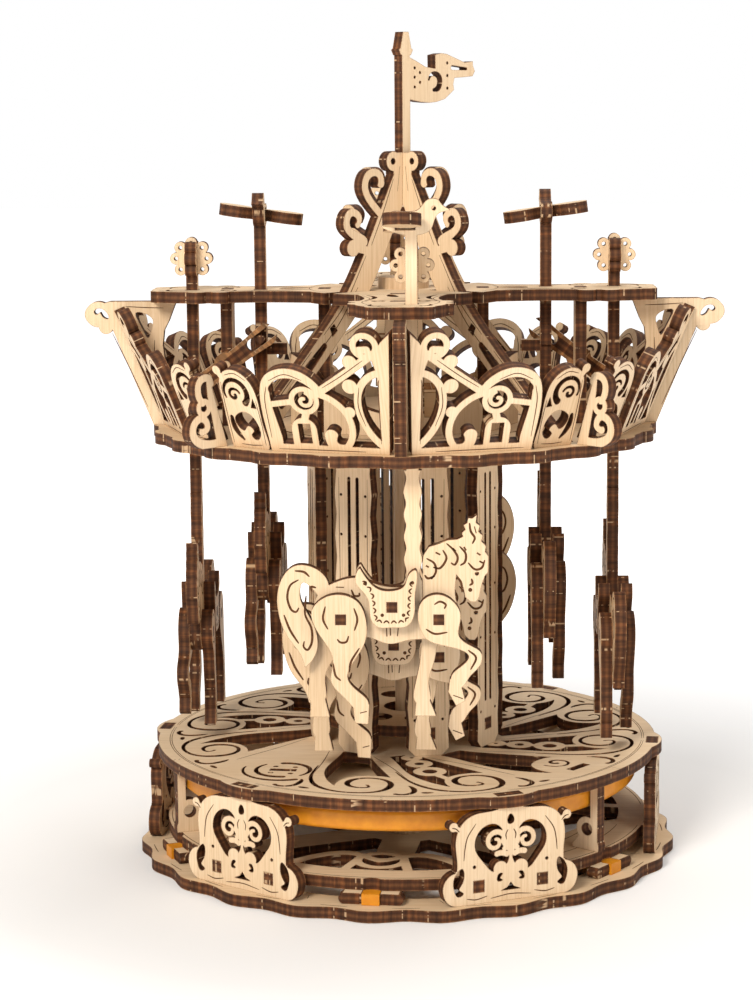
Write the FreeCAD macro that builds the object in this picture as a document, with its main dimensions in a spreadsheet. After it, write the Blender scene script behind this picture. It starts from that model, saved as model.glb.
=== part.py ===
"""Merry-go-round: a tabletop mechanical model cut from thin plywood plates.

Frame: origin at the middle of the base's underside, +Z up. The four wings of the
crown point along +X, -X, +Y and -Y. An azimuth is measured from the front, -Y,
towards +X, in degrees. Sizes are in millimetres.
"""
import FreeCAD, Part
import math
import os
from FreeCAD import Placement, Rotation, Vector

doc = FreeCAD.newDocument("merry_go_round")

# ------------------------------------------------------------------ driving sizes
SIZES = [
    ("ply", 4.0, "thickness of every plywood plate"),
    ("fit_gap", 0.1, "gap round a tab in its slot"),
    ("slide_gap", 0.3, "gap round a pole in its guide slot"),
    ("run_gap", 0.05, "radial gap of a pin or axle in its bore"),
    ("base_radius", 95.6, "mean outer radius of the wavy base ring"),
    ("base_inner", 82.5, "inner radius of the base ring"),
    ("hub_radius", 17.0, "radius of the base hub"),
    ("tray_radius", 88.0, "outer radius of the tray ring"),
    ("tray_inner", 77.0, "inner radius of the tray ring"),
    ("panel_height", 32.0, "height of a base panel between base ring and deck"),
    ("panel_radius", 87.0, "inner face of the base panels"),
    ("deck_radius", 90.0, "outer radius of the deck"),
    ("column_height", 109.8, "height of the column above the deck"),
    ("column_apothem", 30.2, "inner face of the column plates"),
    ("column_width", 14.6, "width of a column plate"),
    ("cam_apothem", 34.0, "inner face of the wave cam's walls"),
    ("cam_middle", 16.2, "mean height of the wave cam above the column cap"),
    ("travel", 18.0, "rise and fall of a horse"),
    ("crown_radius", 88.6, "mean outer radius of the crown ring"),
    ("crown_inner", 47.6, "inner radius of the crown ring"),
    ("gallery_height", 44.1, "gap between crown ring and cross plate"),
    ("wall_radius", 79.0, "inner face of the crown's side walls at their foot"),
    ("wall_lean", 22.0, "outward lean of the crown's side walls, degrees"),
    ("arm_reach", 89.0, "reach of the cross plate's arms"),
    ("outer_circle", 74.6, "radius of the outer horses' circle"),
    ("inner_circle", 50.4, "radius of the inner horses' circle"),
    ("pole_width", 4.0, "width of a pole above the horses"),
    ("pole_wide", 6.0, "width of a pole's wavy lower part"),
    ("pole_side", 3.6, "sideways offset of the poles from the arm's middle"),
    ("saddle_height", 102.7, "height of a raised horse's saddle key"),
    ("axle_radius", 4.0, "radius of the main axle"),
    ("pin_radius", 1.5, "radius of the rocker pins"),
    ("wheel_radius", 78.0, "radius of the drive wheel"),
    ("belt_depth", 5.0, "thickness of the drive belt outside the wheel"),
    ("belt_width", 7.0, "height of the drive belt"),
    ("roof_rise", 96.2, "height of the roof's crossing above the crown ring"),
    ("finial_rise", 137.2, "height of the finial's tip above the crown ring"),
]
sheet = doc.addObject("Spreadsheet::Sheet", "sizes")
for row, (alias, value, meaning) in enumerate(SIZES, start=1):
    sheet.set(f"A{row}", meaning)
    sheet.set(f"B{row}", str(value))
    sheet.setAlias(f"B{row}", alias)
doc.recompute()


def size(alias):
    return float(getattr(sheet, alias))


PLY = size("ply")
FIT = size("fit_gap")
SLIDE = size("slide_gap")
HALF_PLY = PLY / 2
TRAVEL = size("travel")

# levels, as sheet expressions and as numbers
EXPR = {
    "base_top": "sizes.ply",
    "tray_bottom": "2 * sizes.ply",
    "tray_top": "3 * sizes.ply",
    "deck_bottom": "sizes.ply + sizes.panel_height",
    "deck_top": "2 * sizes.ply + sizes.panel_height",
    "crown_bottom": "2 * sizes.ply + sizes.panel_height + sizes.column_height",
    "crown_top": "3 * sizes.ply + sizes.panel_height + sizes.column_height",
    "cross_bottom": "3 * sizes.ply + sizes.panel_height + sizes.column_height"
                    " + sizes.gallery_height",
    "cross_top": "4 * sizes.ply + sizes.panel_height + sizes.column_height"
                 " + sizes.gallery_height",
}
DECK_BOTTOM = PLY + size("panel_height")
DECK_TOP = DECK_BOTTOM + PLY
CROWN_BOTTOM = DECK_TOP + size("column_height")
CROWN_TOP = CROWN_BOTTOM + PLY
CROSS_BOTTOM = CROWN_TOP + size("gallery_height")
CROSS_TOP = CROSS_BOTTOM + PLY
GALLERY_MIDDLE = (CROWN_TOP + CROSS_BOTTOM) / 2
ROOF_APEX = CROWN_TOP + size("roof_rise")
FINIAL_TIP = CROWN_TOP + size("finial_rise")

PANEL_AZIMUTH = 23.0
PEG_AZIMUTH = -7.0
ARMS = {"front": 0.0, "right": 90.0, "back": 180.0, "left": -90.0}


# ------------------------------------------------------------------ flat shapes
def sin_deg(angle):
    return math.sin(math.radians(angle))


def cos_deg(angle):
    return math.cos(math.radians(angle))


def at(radius, azimuth):
    """Plan position of a point at a radius and an azimuth."""
    return Vector(radius * sin_deg(azimuth), -radius * cos_deg(azimuth), 0)


def flat(point):
    return point if isinstance(point, Vector) else Vector(point[0], point[1], 0)


def face_from(wires):
    """A flat face whose normal is always +Z, so that unions of faces merge."""
    return Part.makeFace(wires, "Part::FaceMakerBullseye")


def face_of(edges):
    return face_from([Part.Wire(edges)])


def disc(centre, radius):
    return face_of([Part.makeCircle(radius, flat(centre))])


def polygon(points):
    corners = [flat(point) for point in points]
    return face_from([Part.makePolygon(corners + corners[:1])])


def box(left, bottom, right, top):
    return polygon([(left, bottom), (right, bottom), (right, top), (left, top)])


def smooth(points):
    """Closed smooth outline through the points."""
    curve = Part.BSplineCurve()
    curve.interpolate([flat(point) for point in points], PeriodicFlag=True)
    return face_of([curve.toShape()])


def open_curve(points):
    if len(points) == 2:
        return Part.makeLine(points[0], points[1])
    curve = Part.BSplineCurve()
    curve.interpolate(points)
    return curve.toShape()


def stroke(points, widths):
    """A band along a path, with round ends. widths is one width or one per point."""
    path = [flat(point) for point in points]
    if not isinstance(widths, (list, tuple)):
        widths = [widths] * len(path)
    left = []
    right = []
    for index, point in enumerate(path):
        before = path[max(index - 1, 0)]
        after = path[min(index + 1, len(path) - 1)]
        along = (after - before).normalize()
        across = Vector(-along.y, along.x, 0) * (widths[index] / 2)
        left.append(point + across)
        right.append(point - across)
    start = (path[0] - path[1]).normalize() * (widths[0] / 2)
    end = (path[-1] - path[-2]).normalize() * (widths[-1] / 2)
    return face_of([
        open_curve(left),
        Part.Arc(left[-1], path[-1] + end, right[-1]).toShape(),
        open_curve(right[::-1]),
        Part.Arc(right[0], path[0] + start, left[0]).toShape(),
    ])


def spiral(centre, outer, inner, start, sweep, widths, steps=9):
    """A band that winds from the outer to the inner radius. Angles in degrees."""
    middle = flat(centre)
    path = []
    for step in range(steps):
        share = step / (steps - 1)
        angle = start + sweep * share
        radius = outer + (inner - outer) * share
        path.append(middle + Vector(cos_deg(angle), sin_deg(angle), 0) * radius)
    if not isinstance(widths, (list, tuple)):
        widths = [widths, widths]
    taper = [widths[0] + (widths[1] - widths[0]) * step / (steps - 1) for step in range(steps)]
    return stroke(path, taper)


def ring(centre, outer, inner):
    return disc(centre, outer).cut(disc(centre, inner))


def join(shapes):
    """Union of flat shapes: the edges that only one fragment uses are its border."""
    uses = {}
    for fragment in shapes[0].multiFuse(shapes[1:]).Faces:
        for edge in fragment.Edges:
            uses.setdefault(edge.hashCode(), []).append(edge)
    border = [edges[0] for edges in uses.values() if len(edges) == 1]
    return face_from([Part.Wire(loop) for loop in Part.sortEdges(border)])


def mirrored(shape):
    return face_from(shape.mirror(Vector(0, 0, 0), Vector(1, 0, 0)).Wires)


def moved(shape, x, y, turn=0.0):
    copy = shape.copy()
    copy.rotate(Vector(0, 0, 0), Vector(0, 0, 1), turn)
    copy.translate(Vector(x, y, 0))
    return copy


def spun(shape, azimuths):
    """Copies of a plan shape drawn at azimuth 0, turned to each azimuth."""
    copies = []
    for azimuth in azimuths:
        copies.append(moved(shape, 0, 0, azimuth))
    return copies


def turns(first, count):
    return [first + 360.0 * index / count for index in range(count)]


def wavy_disc(mean, depth, lobes, phase=0.0):
    """A disc whose rim waves: lobes bulge outwards at the phase azimuth."""
    points = []
    for index in range(lobes * 4):
        azimuth = phase + 360.0 * index / (lobes * 4)
        points.append(at(mean + depth * cos_deg(90.0 * index), azimuth))
    return smooth(points)


# ------------------------------------------------------------------ solid pieces
def plane(body, role):
    return next(item for item in body.Origin.OriginFeatures if item.Role == role)


def sketch_curve(edge):
    """The sketch curve of an edge of a flat outline, ending exactly on its corners."""
    first, last = edge.ParameterRange
    curve = edge.Curve
    if edge.isClosed():
        if isinstance(curve, Part.Circle):
            return Part.Circle(curve.Center, Vector(0, 0, 1), curve.Radius)
        return curve.copy()
    corners = [vertex.Point for vertex in edge.Vertexes]
    start = min(corners, key=edge.valueAt(first).distanceToPoint)
    end = max(corners, key=edge.valueAt(first).distanceToPoint)
    if isinstance(curve, Part.Line):
        return Part.LineSegment(start, end)
    if isinstance(curve, Part.Circle):
        return Part.Arc(start, edge.valueAt((first + last) / 2), end)
    spline = curve.copy()
    spline.segment(first, last)
    spline.setPole(1, start)
    spline.setPole(spline.NbPoles, end)
    return spline


class Piece:
    """One PartDesign body that is built up from padded sketches."""

    def __init__(self, label):
        self.body = doc.addObject("PartDesign::Body", label)
        self.body.Label = label
        self.pads = []

    def pad(self, outline, role, offsets, rotation, thickness="sizes.ply", middle=False):
        name = f"{self.body.Label}_{len(self.pads)}"
        sketch = self.body.newObject("Sketcher::SketchObject", "profile_" + name)
        sketch.AttachmentSupport = [(plane(self.body, role), "")]
        sketch.MapMode = "FlatFace"
        sketch.AttachmentOffset = Placement(Vector(0, 0, 0), rotation)
        for axis, expression in zip("xyz", offsets):
            if expression:
                sketch.setExpression(f"AttachmentOffset.Base.{axis}", expression)
        sketch.addGeometry([sketch_curve(edge) for edge in outline.Edges], False)
        pad = self.body.newObject("PartDesign::Pad", "pad_" + name)
        pad.Profile = sketch
        pad.setExpression("Length", thickness)
        pad.Midplane = middle
        pad.Refine = False
        self.pads.append(pad)
        return self

    def lying(self, outline, level, thickness="sizes.ply"):
        """A flat plate whose underside is at a level."""
        return self.pad(outline, "XY_Plane", ("", "", level), Rotation(), thickness)

    def facing(self, outline, azimuth, radius, level="", lean=0.0, thickness="sizes.ply"):
        """A plate square to its radius, drawn across and up from its foot."""
        turn = Rotation(Vector(0, 1, 0), azimuth) * Rotation(Vector(1, 0, 0), lean)
        offsets = (f"({radius}) * sin({azimuth} deg)", level, f"({radius}) * cos({azimuth} deg)")
        return self.pad(outline, "XZ_Plane", offsets, turn, thickness)

    def radial(self, outline, azimuth, side="", thickness="sizes.ply"):
        """A plate in the plane of its radius, drawn outwards and up from the origin."""
        turn = Rotation(Vector(0, 1, 0), azimuth - 90.0)
        offsets = ("", "", "")
        if side:
            offsets = (f"({side}) * cos({azimuth} deg)", "", f"-({side}) * sin({azimuth} deg)")
        return self.pad(outline, "XZ_Plane", offsets, turn, thickness, middle=True)

    def pattern(self, count):
        polar = self.body.newObject("PartDesign::PolarPattern", "pattern_" + self.body.Label)
        polar.Originals = self.pads
        polar.Axis = (plane(self.body, "Z_Axis"), [""])
        polar.Angle = 360
        polar.Occurrences = count
        self.body.Tip = polar
        return self


nodes = []


def keep(piece):
    """Register a finished sub-part."""
    part = piece.body if isinstance(piece, Piece) else piece
    nodes.append(part)
    return part


def group(label, pieces):
    """Separate touching solids that are one sub-part."""
    compound = doc.addObject("Part::Compound", label)
    compound.Label = label
    compound.Links = [piece.body if isinstance(piece, Piece) else piece for piece in pieces]
    return keep(compound)


def cylinder(label, radius, height, azimuth=0.0, distance=0.0, level="0"):
    """An upright round bar. Sizes are sheet expressions."""
    bar = doc.addObject("Part::Cylinder", label)
    bar.Label = label
    bar.setExpression("Radius", radius)
    bar.setExpression("Height", height)
    place = at(distance, azimuth)
    bar.Placement = Placement(place, Rotation())
    bar.setExpression("Placement.Base.z", level)
    return bar


def drilled(label, plate, pins):
    """A plate with the holes that its pins sit in."""
    cut = doc.addObject("Part::Cut", label)
    cut.Label = label
    cut.Base = plate.body
    cut.Tool = pins
    return cut


def dowel(label, radius, length, azimuth, distance, side, level):
    """A round bar lying square to the radius at an azimuth, from side towards side + length."""
    bar = doc.addObject("Part::Cylinder", label)
    bar.Label = label
    bar.setExpression("Radius", radius)
    bar.setExpression("Height", length)
    across = Vector(cos_deg(azimuth), sin_deg(azimuth), 0)
    place = at(distance, azimuth) + across * side + Vector(0, 0, level)
    bar.Placement = Placement(place, Rotation(Vector(0, 0, 1), across))
    return bar


def tube(label, outer, inner, height, level):
    """An upright ring made of two cylinders."""
    shell = cylinder(label + "_outside", outer, height, level=level)
    bore = cylinder(label + "_bore", inner, height, level=level)
    cut = doc.addObject("Part::Cut", label)
    cut.Label = label
    cut.Base = shell
    cut.Tool = bore
    return cut


# ------------------------------------------------------------------ base
def base_plate():
    rim = wavy_disc(size("base_radius"), 1.2, 24, PEG_AZIMUTH)
    opening = disc((0, 0), size("base_inner"))
    hub = disc((0, 0), size("hub_radius"))
    spokes = []
    for azimuth in turns(PEG_AZIMUTH, 3):
        spoke = box(-7, -size("base_inner") - 2, 7, size("base_inner") + 2)
        spokes.append(moved(spoke, 0, 0, azimuth))
    bore = disc((0, 0), size("axle_radius") + PLY + FIT)
    outline = join([rim.cut(opening), hub] + spokes).cut(bore)
    anchor = box(-4 - FIT, -66 - FIT, 4 + FIT, -62 + FIT)
    outline = outline.cut(spun(anchor, turns(PEG_AZIMUTH, 6)))
    keep(Piece("base_plate").lying(outline, "0"))


def rubber_pegs():
    bar = box(-9, 0.1, 9, PLY - 0.1)
    ends = [disc((side * 9, HALF_PLY), HALF_PLY - 0.1) for side in (-1, 1)]
    waist = [box(-3.2, 0, 3.2, 1), box(-3.2, PLY - 1, 3.2, PLY)]
    outline = join([bar] + ends).cut(waist)
    keep(Piece("rubber_pegs").facing(outline, PEG_AZIMUTH, "86", EXPR["base_top"]).pattern(6))


def band_anchors():
    post = box(-4, -PLY, 4, PLY)
    waist = [box(-3.2, 0, 3.2, 1), box(-3.2, PLY - 1, 3.2, PLY)]
    lug = join([post, box(-5, 0.1, 5, PLY)]).cut(waist)
    keep(Piece("band_anchors").facing(lug, PEG_AZIMUTH, "62", EXPR["base_top"]).pattern(6))


def rubber_bands():
    outside = box(61.1, PLY + 0.1, 90.9, 2 * PLY - 0.1)
    inside = box(61.9, PLY + 0.9, 90.1, 2 * PLY - 0.9)
    loop = outside.cut(inside)
    keep(Piece("rubber_bands").radial(loop, PEG_AZIMUTH, thickness="6").pattern(6))


def panel_outline():
    """Base panel, drawn across and up from the middle of its foot."""
    height = size("panel_height")
    half = [
        join([box(0, 0, 20, 12), disc((19, 6), 5.6), disc((19.2, 5.2), 5.2)]),
        smooth([(0, 6), (20, 6), (19.4, 15), (19.9, 20), (19.6, 24), (16.5, 29), (12.6, 30.8),
                (7, height - 0.8), (0, height - 0.4), (-4, 20)]),
        disc((20.6, 27.2), 1.6),
        stroke([(18.5, 26), (20.4, 27)], 1.8),
        box(0, 26, 4, height),
    ]
    body = join(half + [mirrored(shape) for shape in half])
    lobe = [disc((3.7, 11.2), 2.6)]
    heart = smooth([(0.6, 15.5), (1.6, 12.6), (6.2, 10.4), (9.6, 13.6), (12.9, 18.8), (12.2, 23.6),
                    (8.6, 26.6), (5, 26.4), (2.9, 23.4), (3.6, 21), (1.2, 17)])
    scroll = [
        spiral((5.6, 20.6), 4.2, 0.9, 215, -470, (2.1, 1.3)),
        stroke([(1.5, 16), (3.2, 16.6), (5.0, 16.4)], 2.0),
    ]
    window = heart.cut(join(scroll + lobe))
    extra = [
        smooth([(18.2, 12.6), (20.7, 9), (20.4, 5.2), (18.8, 3.2), (17.2, 4.2), (18.6, 5.4),
                (17.4, 8)]),
        smooth([(3.2, 9.6), (4.7, 9), (4.5, 6.9), (3.0, 7.3), (3.9, 8)]),
        disc((13.2, 12.8), 0.55),
        box(9.7 - FIT, PLY - FIT, 13.5 + FIT, 2 * PLY + FIT),
    ]
    holes = [window] + extra
    holes = holes + [mirrored(shape) for shape in holes]
    holes.append(smooth([(0, 26.2), (1.2, 27.9), (0, 29.6), (-1.2, 27.9)]))
    holes.append(polygon([(-3.6, 3.6), (3.6, 3.6), (1.2, 4.6), (0, 6.2), (-1.2, 4.6)]))
    tab = box(-4.6, height - 1, 4.6, height + PLY)
    return join([body, tab]).cut(holes)


def base_panels():
    piece = Piece("base_panels")
    piece.facing(panel_outline(), PANEL_AZIMUTH, "sizes.panel_radius", EXPR["base_top"])
    keep(piece.pattern(6))


def tray():
    rim = disc((0, 0), size("tray_radius") - 1.1)
    opening = disc((0, 0), size("tray_inner"))
    parts = [rim.cut(opening)]
    for azimuth in turns(PANEL_AZIMUTH, 6):
        lug = box(9.7, -size("panel_radius") - PLY, 13.5, -80)
        parts.append(moved(lug, 0, 0, azimuth))
        parts.append(moved(mirrored(lug), 0, 0, azimuth))
    web = join([
        stroke([at(78, -22), at(68, -20), at(60, -10), at(66, 0), at(60, 10), at(68, 20), at(78, 22)], 4.4),
        ring(at(66, 0), 9.6, 6.4),
        stroke([at(66, 0) + Vector(-8, 0, 0), at(78, -8)], 3.4),
        stroke([at(66, 0) + Vector(8, 0, 0), at(78, 8)], 3.4),
    ])
    broad = smooth([at(80, -26), at(74, -23), at(67, -14), at(65, 0), at(67, 14), at(74, 23),
                    at(80, 26), at(80.5, 13), at(80.5, 0), at(80.5, -13)])
    parts = parts + spun(web, turns(PEG_AZIMUTH, 3))
    parts = parts + spun(broad, turns(PEG_AZIMUTH + 60, 3))
    outline = join(parts)
    inset = box(-9.7, -size("panel_radius") - PLY - 1, 9.7, -size("panel_radius") + FIT)
    outline = outline.cut(spun(inset, turns(PANEL_AZIMUTH, 6)))
    notch = smooth([at(90, -2.2), at(86.4, -1.6), at(86.4, 1.6), at(90, 2.2)])
    outline = outline.cut(spun(notch, turns(PEG_AZIMUTH, 6)))
    keep(Piece("tray").lying(outline, EXPR["tray_bottom"]))


def radial_brackets():
    """Curled posts between tray and deck, outside the drive belt."""
    foot = 3 * PLY
    top = DECK_BOTTOM
    curl = (82.4, foot + 7.4)
    profile = join([
        box(83.8, foot, 86.8, top),
        disc(curl, 4.4),
        smooth([(77.4, foot - 1), (86.8, foot - 1), (86.6, foot + 4), (81, foot + 6.4),
                (77.6, foot + 3)]),
    ])
    profile = profile.cut([disc(curl, 2.2), box(70, foot - 4, 90, foot)])
    keep(Piece("radial_brackets").radial(profile, PEG_AZIMUTH + 57.7).pattern(3))


# ------------------------------------------------------------------ deck
def deck_window():
    """Opening between two arms of the deck, drawn about azimuth 0 of its scroll."""
    left = [(35, -30), (47.3, -22.9), (58.7, -18.8), (67, -14.6), (75.4, -9)]
    top = [(75.4, -9), (69.8, -9.6), (63.6, -7.6), (60.8, -2.4), (62.0, 4.6)]
    right = [(62.0, 4.6), (50.4, -0.6), (40.6, -7), (32.2, -14.4)]
    foot = [(32.2, -14.4), (32.6, -22), (35, -30)]
    edges = []
    for side in (left, top, right, foot):
        edges.append(open_curve([at(radius, azimuth) for radius, azimuth in side]))
    return face_of(edges)


def deck_groove():
    """Spiral cut that parts a scroll from the rim."""
    path = [(55, -24.1), (64.4, -20.4), (72, -17), (78.5, -12.5), (81.8, -7.4), (82.3, -2.3),
            (79.6, 3), (74, 5.3), (67.6, 4.7), (63.9, 0.8), (64.4, -4), (68.6, -6.6), (73.4, -5.9),
            (75.8, -3), (75.2, -0.4), (72.3, -0.9)]
    widths = [0.4, 0.9, 1.4, 1.6, 1.3, 1.2, 1.6, 2.2, 1.7, 1.3, 1.5, 2.1, 1.7, 1.2, 1.0, 1.0]
    return stroke([at(radius, azimuth) for radius, azimuth in path], widths)


def deck_chain():
    """Three rings in a row that fill every second window."""
    links = [((35.9, -17.4), 3.8, 0.7), ((44.2, -14.6), 4.8, 1.6), ((54.8, -11.9), 5.8, 2.5)]
    spine = [at(*place) for place, radius, bore in links]
    parts = [stroke([at(29.5, -19), at(33.6, -18)], 3.4), stroke(spine, 2.8),
             stroke([at(58, -11), at(66, -7.6)], 2.8)]
    holes = []
    for place, radius, bore in links:
        parts.append(disc(at(*place), radius))
        holes.append(disc(at(*place), bore))
    return join(parts).cut(holes)


def deck_trim():
    """Comma and oval near the rim."""
    comma = stroke([at(82.6, 7.2), at(83.2, 8.8), at(81.4, 11), at(77.2, 11.6), at(72.6, 10.4)],
                   [1.6, 1.5, 1.7, 1.8, 0.5])
    oval = smooth([at(81.4, 13.2), at(82.2, 14.7), at(81.6, 16.1), at(80.6, 14.7)])
    return [comma, oval]


DECK_AZIMUTH = -9.0
MEDALLION = 11
SLOTTED = 2


def deck_medallion():
    """Round plate that takes the place of one scroll."""
    middle = Vector(0, -66.5, 0)
    cuts = [moved(box(-4.6, -1.4, 4.6, 1.4), 0, -66.5, 32)]
    for start in (-10, 170):
        cuts.append(spiral(middle, 9.6, 8.8, start, 140, (0.9, 2.4), 7))
    for angle in (-20, 80, 160, 260):
        place = middle + Vector(cos_deg(angle), sin_deg(angle), 0) * 5.4
        cuts.append(disc(place, 0.9))
    cuts.append(spiral(middle, 14.0, 13.2, 200, 130, (0.6, 2.2), 7))
    return cuts


def deck_slotted():
    """Smaller scroll with a tab slot outside it."""
    return [box(-5, -78.4, 5, -75.4), spiral((0, -67.6), 5.6, 0.9, 170, 420, (0.7, 1.6), 13)]


def deck():
    outline = disc((0, 0), size("deck_radius"))
    lobe = smooth([at(88, -9), at(90.6, -6), at(92.4, 0), at(90.6, 6), at(88, 9), at(84, 0)])
    outline = join([outline] + spun(lobe, turns(PANEL_AZIMUTH, 6)))
    inner = size("panel_radius") - FIT
    outer = size("panel_radius") + PLY + FIT
    slot = box(-4.6 - FIT, -outer, 4.6 + FIT, -inner)
    holes = spun(slot, turns(PANEL_AZIMUTH, 6))
    holes.append(disc((0, 0), size("axle_radius") + 2))
    window = deck_window()
    chained = window.cut(deck_chain())
    for index, azimuth in enumerate(turns(DECK_AZIMUTH, 12)):
        cuts = [chained if index % 2 else window] + deck_trim()
        if index == MEDALLION:
            cuts = deck_medallion() + deck_trim()
        elif index == SLOTTED:
            cuts = cuts + deck_slotted()
        else:
            cuts.append(deck_groove())
        for cut in cuts:
            holes.append(moved(cut, 0, 0, azimuth))
    keep(Piece("deck").lying(outline.cut(holes), EXPR["deck_bottom"]))


# ------------------------------------------------------------------ column
COLUMN_AZIMUTH = 14.0
COLUMN_TABS = (6.0, 104.0)
COLUMN_TAB = 4.4


def column_plates():
    half = size("column_width") / 2
    top = size("column_height")
    points = [(-half + 2.4, 0), (-half, 2.6)]
    waves = 7
    for index in range(1, waves * 2):
        wave = 0.35 if index % 2 else -0.35
        points.append((-half + wave, 2.6 + (top - 5) * index / (waves * 2)))
    points.append((-half, top))
    right = [(-x, y) for x, y in reversed(points)]
    outline = polygon(points + right)
    holes = []
    for level in COLUMN_TABS:
        reach = COLUMN_TAB / 2 + FIT
        lower = min(level + PLY + FIT, top - 1)
        holes.append(box(-reach, level - FIT, reach, lower))
    for side in (-1, 1):
        holes.append(stroke([(side * 1.7, 17), (side * 1.7, 60), (side * 1.7, top - 12)], 1.2))
        for level in (13, 40, 58, 78, 92):
            holes.append(disc((side * 5.0, level), 0.45))
    piece = Piece("column_plates")
    piece.facing(outline.cut(holes), COLUMN_AZIMUTH, "sizes.column_apothem", EXPR["deck_top"])
    keep(piece.pattern(8))


def column_discs():
    inner = size("column_apothem") - FIT
    reach = size("column_apothem") + PLY
    parts = [disc((0, 0), inner)]
    tab = box(-COLUMN_TAB / 2, -reach, COLUMN_TAB / 2, -inner + 2)
    parts = parts + spun(tab, turns(COLUMN_AZIMUTH, 8))
    holes = [disc((0, 0), size("axle_radius") + PLY + FIT)]
    holes = holes + spun(disc((0, -19), 5), turns(COLUMN_AZIMUTH, 8))
    outline = join(parts).cut(holes)
    piece = Piece("column_discs")
    for level in COLUMN_TABS:
        piece.lying(outline, EXPR["deck_top"] + f" + {level}")
    keep(piece)


def column_cap():
    outline = disc((0, 0), size("crown_inner") - 1.0)
    outline = outline.cut(disc((0, 0), size("axle_radius") + PLY + FIT))
    keep(Piece("column_cap").lying(outline, EXPR["crown_bottom"]))


def wave_cam():
    """Eight walls whose upper edges together make a wave with two high sides."""
    inner = size("cam_apothem")
    outer = inner + PLY
    half = inner * math.tan(math.radians(22.5)) - 0.1
    amplitude = TRAVEL / 2
    piece = Piece("wave_cam")
    for azimuth in turns(22.5, 8):
        crest = []
        for step in range(7):
            across = -half + 2 * half * step / 6
            local = azimuth + math.degrees(math.atan2(across, outer))
            crest.append(Vector(across, size("cam_middle") - amplitude * cos_deg(2 * local), 0))
        wall = face_of([
            Part.makeLine(Vector(-half, 0, 0), Vector(half, 0, 0)),
            Part.makeLine(Vector(half, 0, 0), crest[-1]),
            open_curve(crest),
            Part.makeLine(crest[0], Vector(-half, 0, 0)),
        ])
        piece.facing(wall, azimuth, "sizes.cam_apothem", EXPR["crown_top"])
    keep(piece)


# ------------------------------------------------------------------ axle and drive
def axle_parts():
    keep(cylinder("main_axle", "sizes.axle_radius", EXPR["cross_top"] + " + 2", level="2"))
    bore = "sizes.axle_radius + sizes.run_gap"
    outside = "sizes.axle_radius + sizes.ply"
    keep(tube("lower_bush", outside, bore, "3 * sizes.ply", "0"))
    keep(tube("upper_bush", outside, bore, "sizes.ply", EXPR["crown_bottom"]))
    keep(tube("thrust_washer", "sizes.axle_radius + 8", bore, "2", EXPR["crown_top"]))
    keep(tube("axle_collar", "sizes.axle_radius + 5", bore, "sizes.ply", EXPR["cross_top"]))


WHEEL_BOTTOM = "sizes.ply + sizes.panel_height - 7.5"
BELT_BOTTOM = "sizes.ply + sizes.panel_height - 9"


def drive_wheel():
    outline = disc((0, 0), size("wheel_radius")).cut(disc((0, 0), size("axle_radius") + 0.01))
    outline = outline.cut(spun(disc((0, -46), 13), turns(0, 6)))
    keep(Piece("drive_wheel").lying(outline, WHEEL_BOTTOM))
    hub = ring((0, 0), 16, size("axle_radius") + 0.01)
    keep(Piece("wheel_hub").lying(hub, WHEEL_BOTTOM + " - sizes.ply"))


def drive_belt():
    """A rubber tyre of rounded section round the drive wheel."""
    inner = size("wheel_radius") + FIT
    depth = size("belt_depth")
    width = size("belt_width")
    belt = Piece("drive_belt")
    corner = 1.6
    shoulder = inner + depth - corner
    profile = join([
        box(inner, 0, shoulder, width),
        box(inner, corner, inner + depth, width - corner),
        disc((shoulder, corner), corner),
        disc((shoulder, width - corner), corner),
    ])
    body = belt.body
    sketch = body.newObject("Sketcher::SketchObject", "belt_profile")
    sketch.AttachmentSupport = [(plane(body, "XZ_Plane"), "")]
    sketch.MapMode = "FlatFace"
    sketch.setExpression("AttachmentOffset.Base.y", BELT_BOTTOM)
    sketch.addGeometry([sketch_curve(edge) for edge in profile.Edges], False)
    turned = body.newObject("PartDesign::Revolution", "belt_turned")
    turned.Profile = sketch
    turned.ReferenceAxis = (plane(body, "Z_Axis"), [""])
    turned.Angle = 360
    keep(belt)


# ------------------------------------------------------------------ crown
POST_RADIUS = (size("outer_circle") + size("inner_circle")) / 2
BOSS_HALF = 3.5
PIN_DEPTH = 5.0


def pole_slots():
    """Guide slots of the eight poles, drawn for the arm at azimuth 0."""
    half = size("pole_width") / 2 + SLIDE
    middle = size("pole_side")
    slots = []
    for radius in (size("outer_circle"), size("inner_circle")):
        depth = HALF_PLY + SLIDE
        slots.append(box(middle - half, -radius - depth, middle + half, -radius + depth))
    return slots


def post_tabs(gap):
    """Slots or tabs of one arm's post."""
    middle = size("pole_side") - 4
    return box(middle - 3 - gap, -POST_RADIUS - HALF_PLY - gap, middle + 3 + gap,
               -POST_RADIUS + HALF_PLY + gap)


def crown_ring():
    rim = join([disc((0, 0), size("crown_radius") - 1)]
               + spun(disc((0, -size("crown_radius") + 9.5), 10.6), turns(0, 24)))
    outline = rim.cut(disc((0, 0), size("crown_inner")))
    holes = []
    for shape in pole_slots() + [post_tabs(FIT)]:
        holes = holes + spun(shape, ARMS.values())
    keep(Piece("crown_ring").lying(outline.cut(holes), EXPR["crown_bottom"]))


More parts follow.
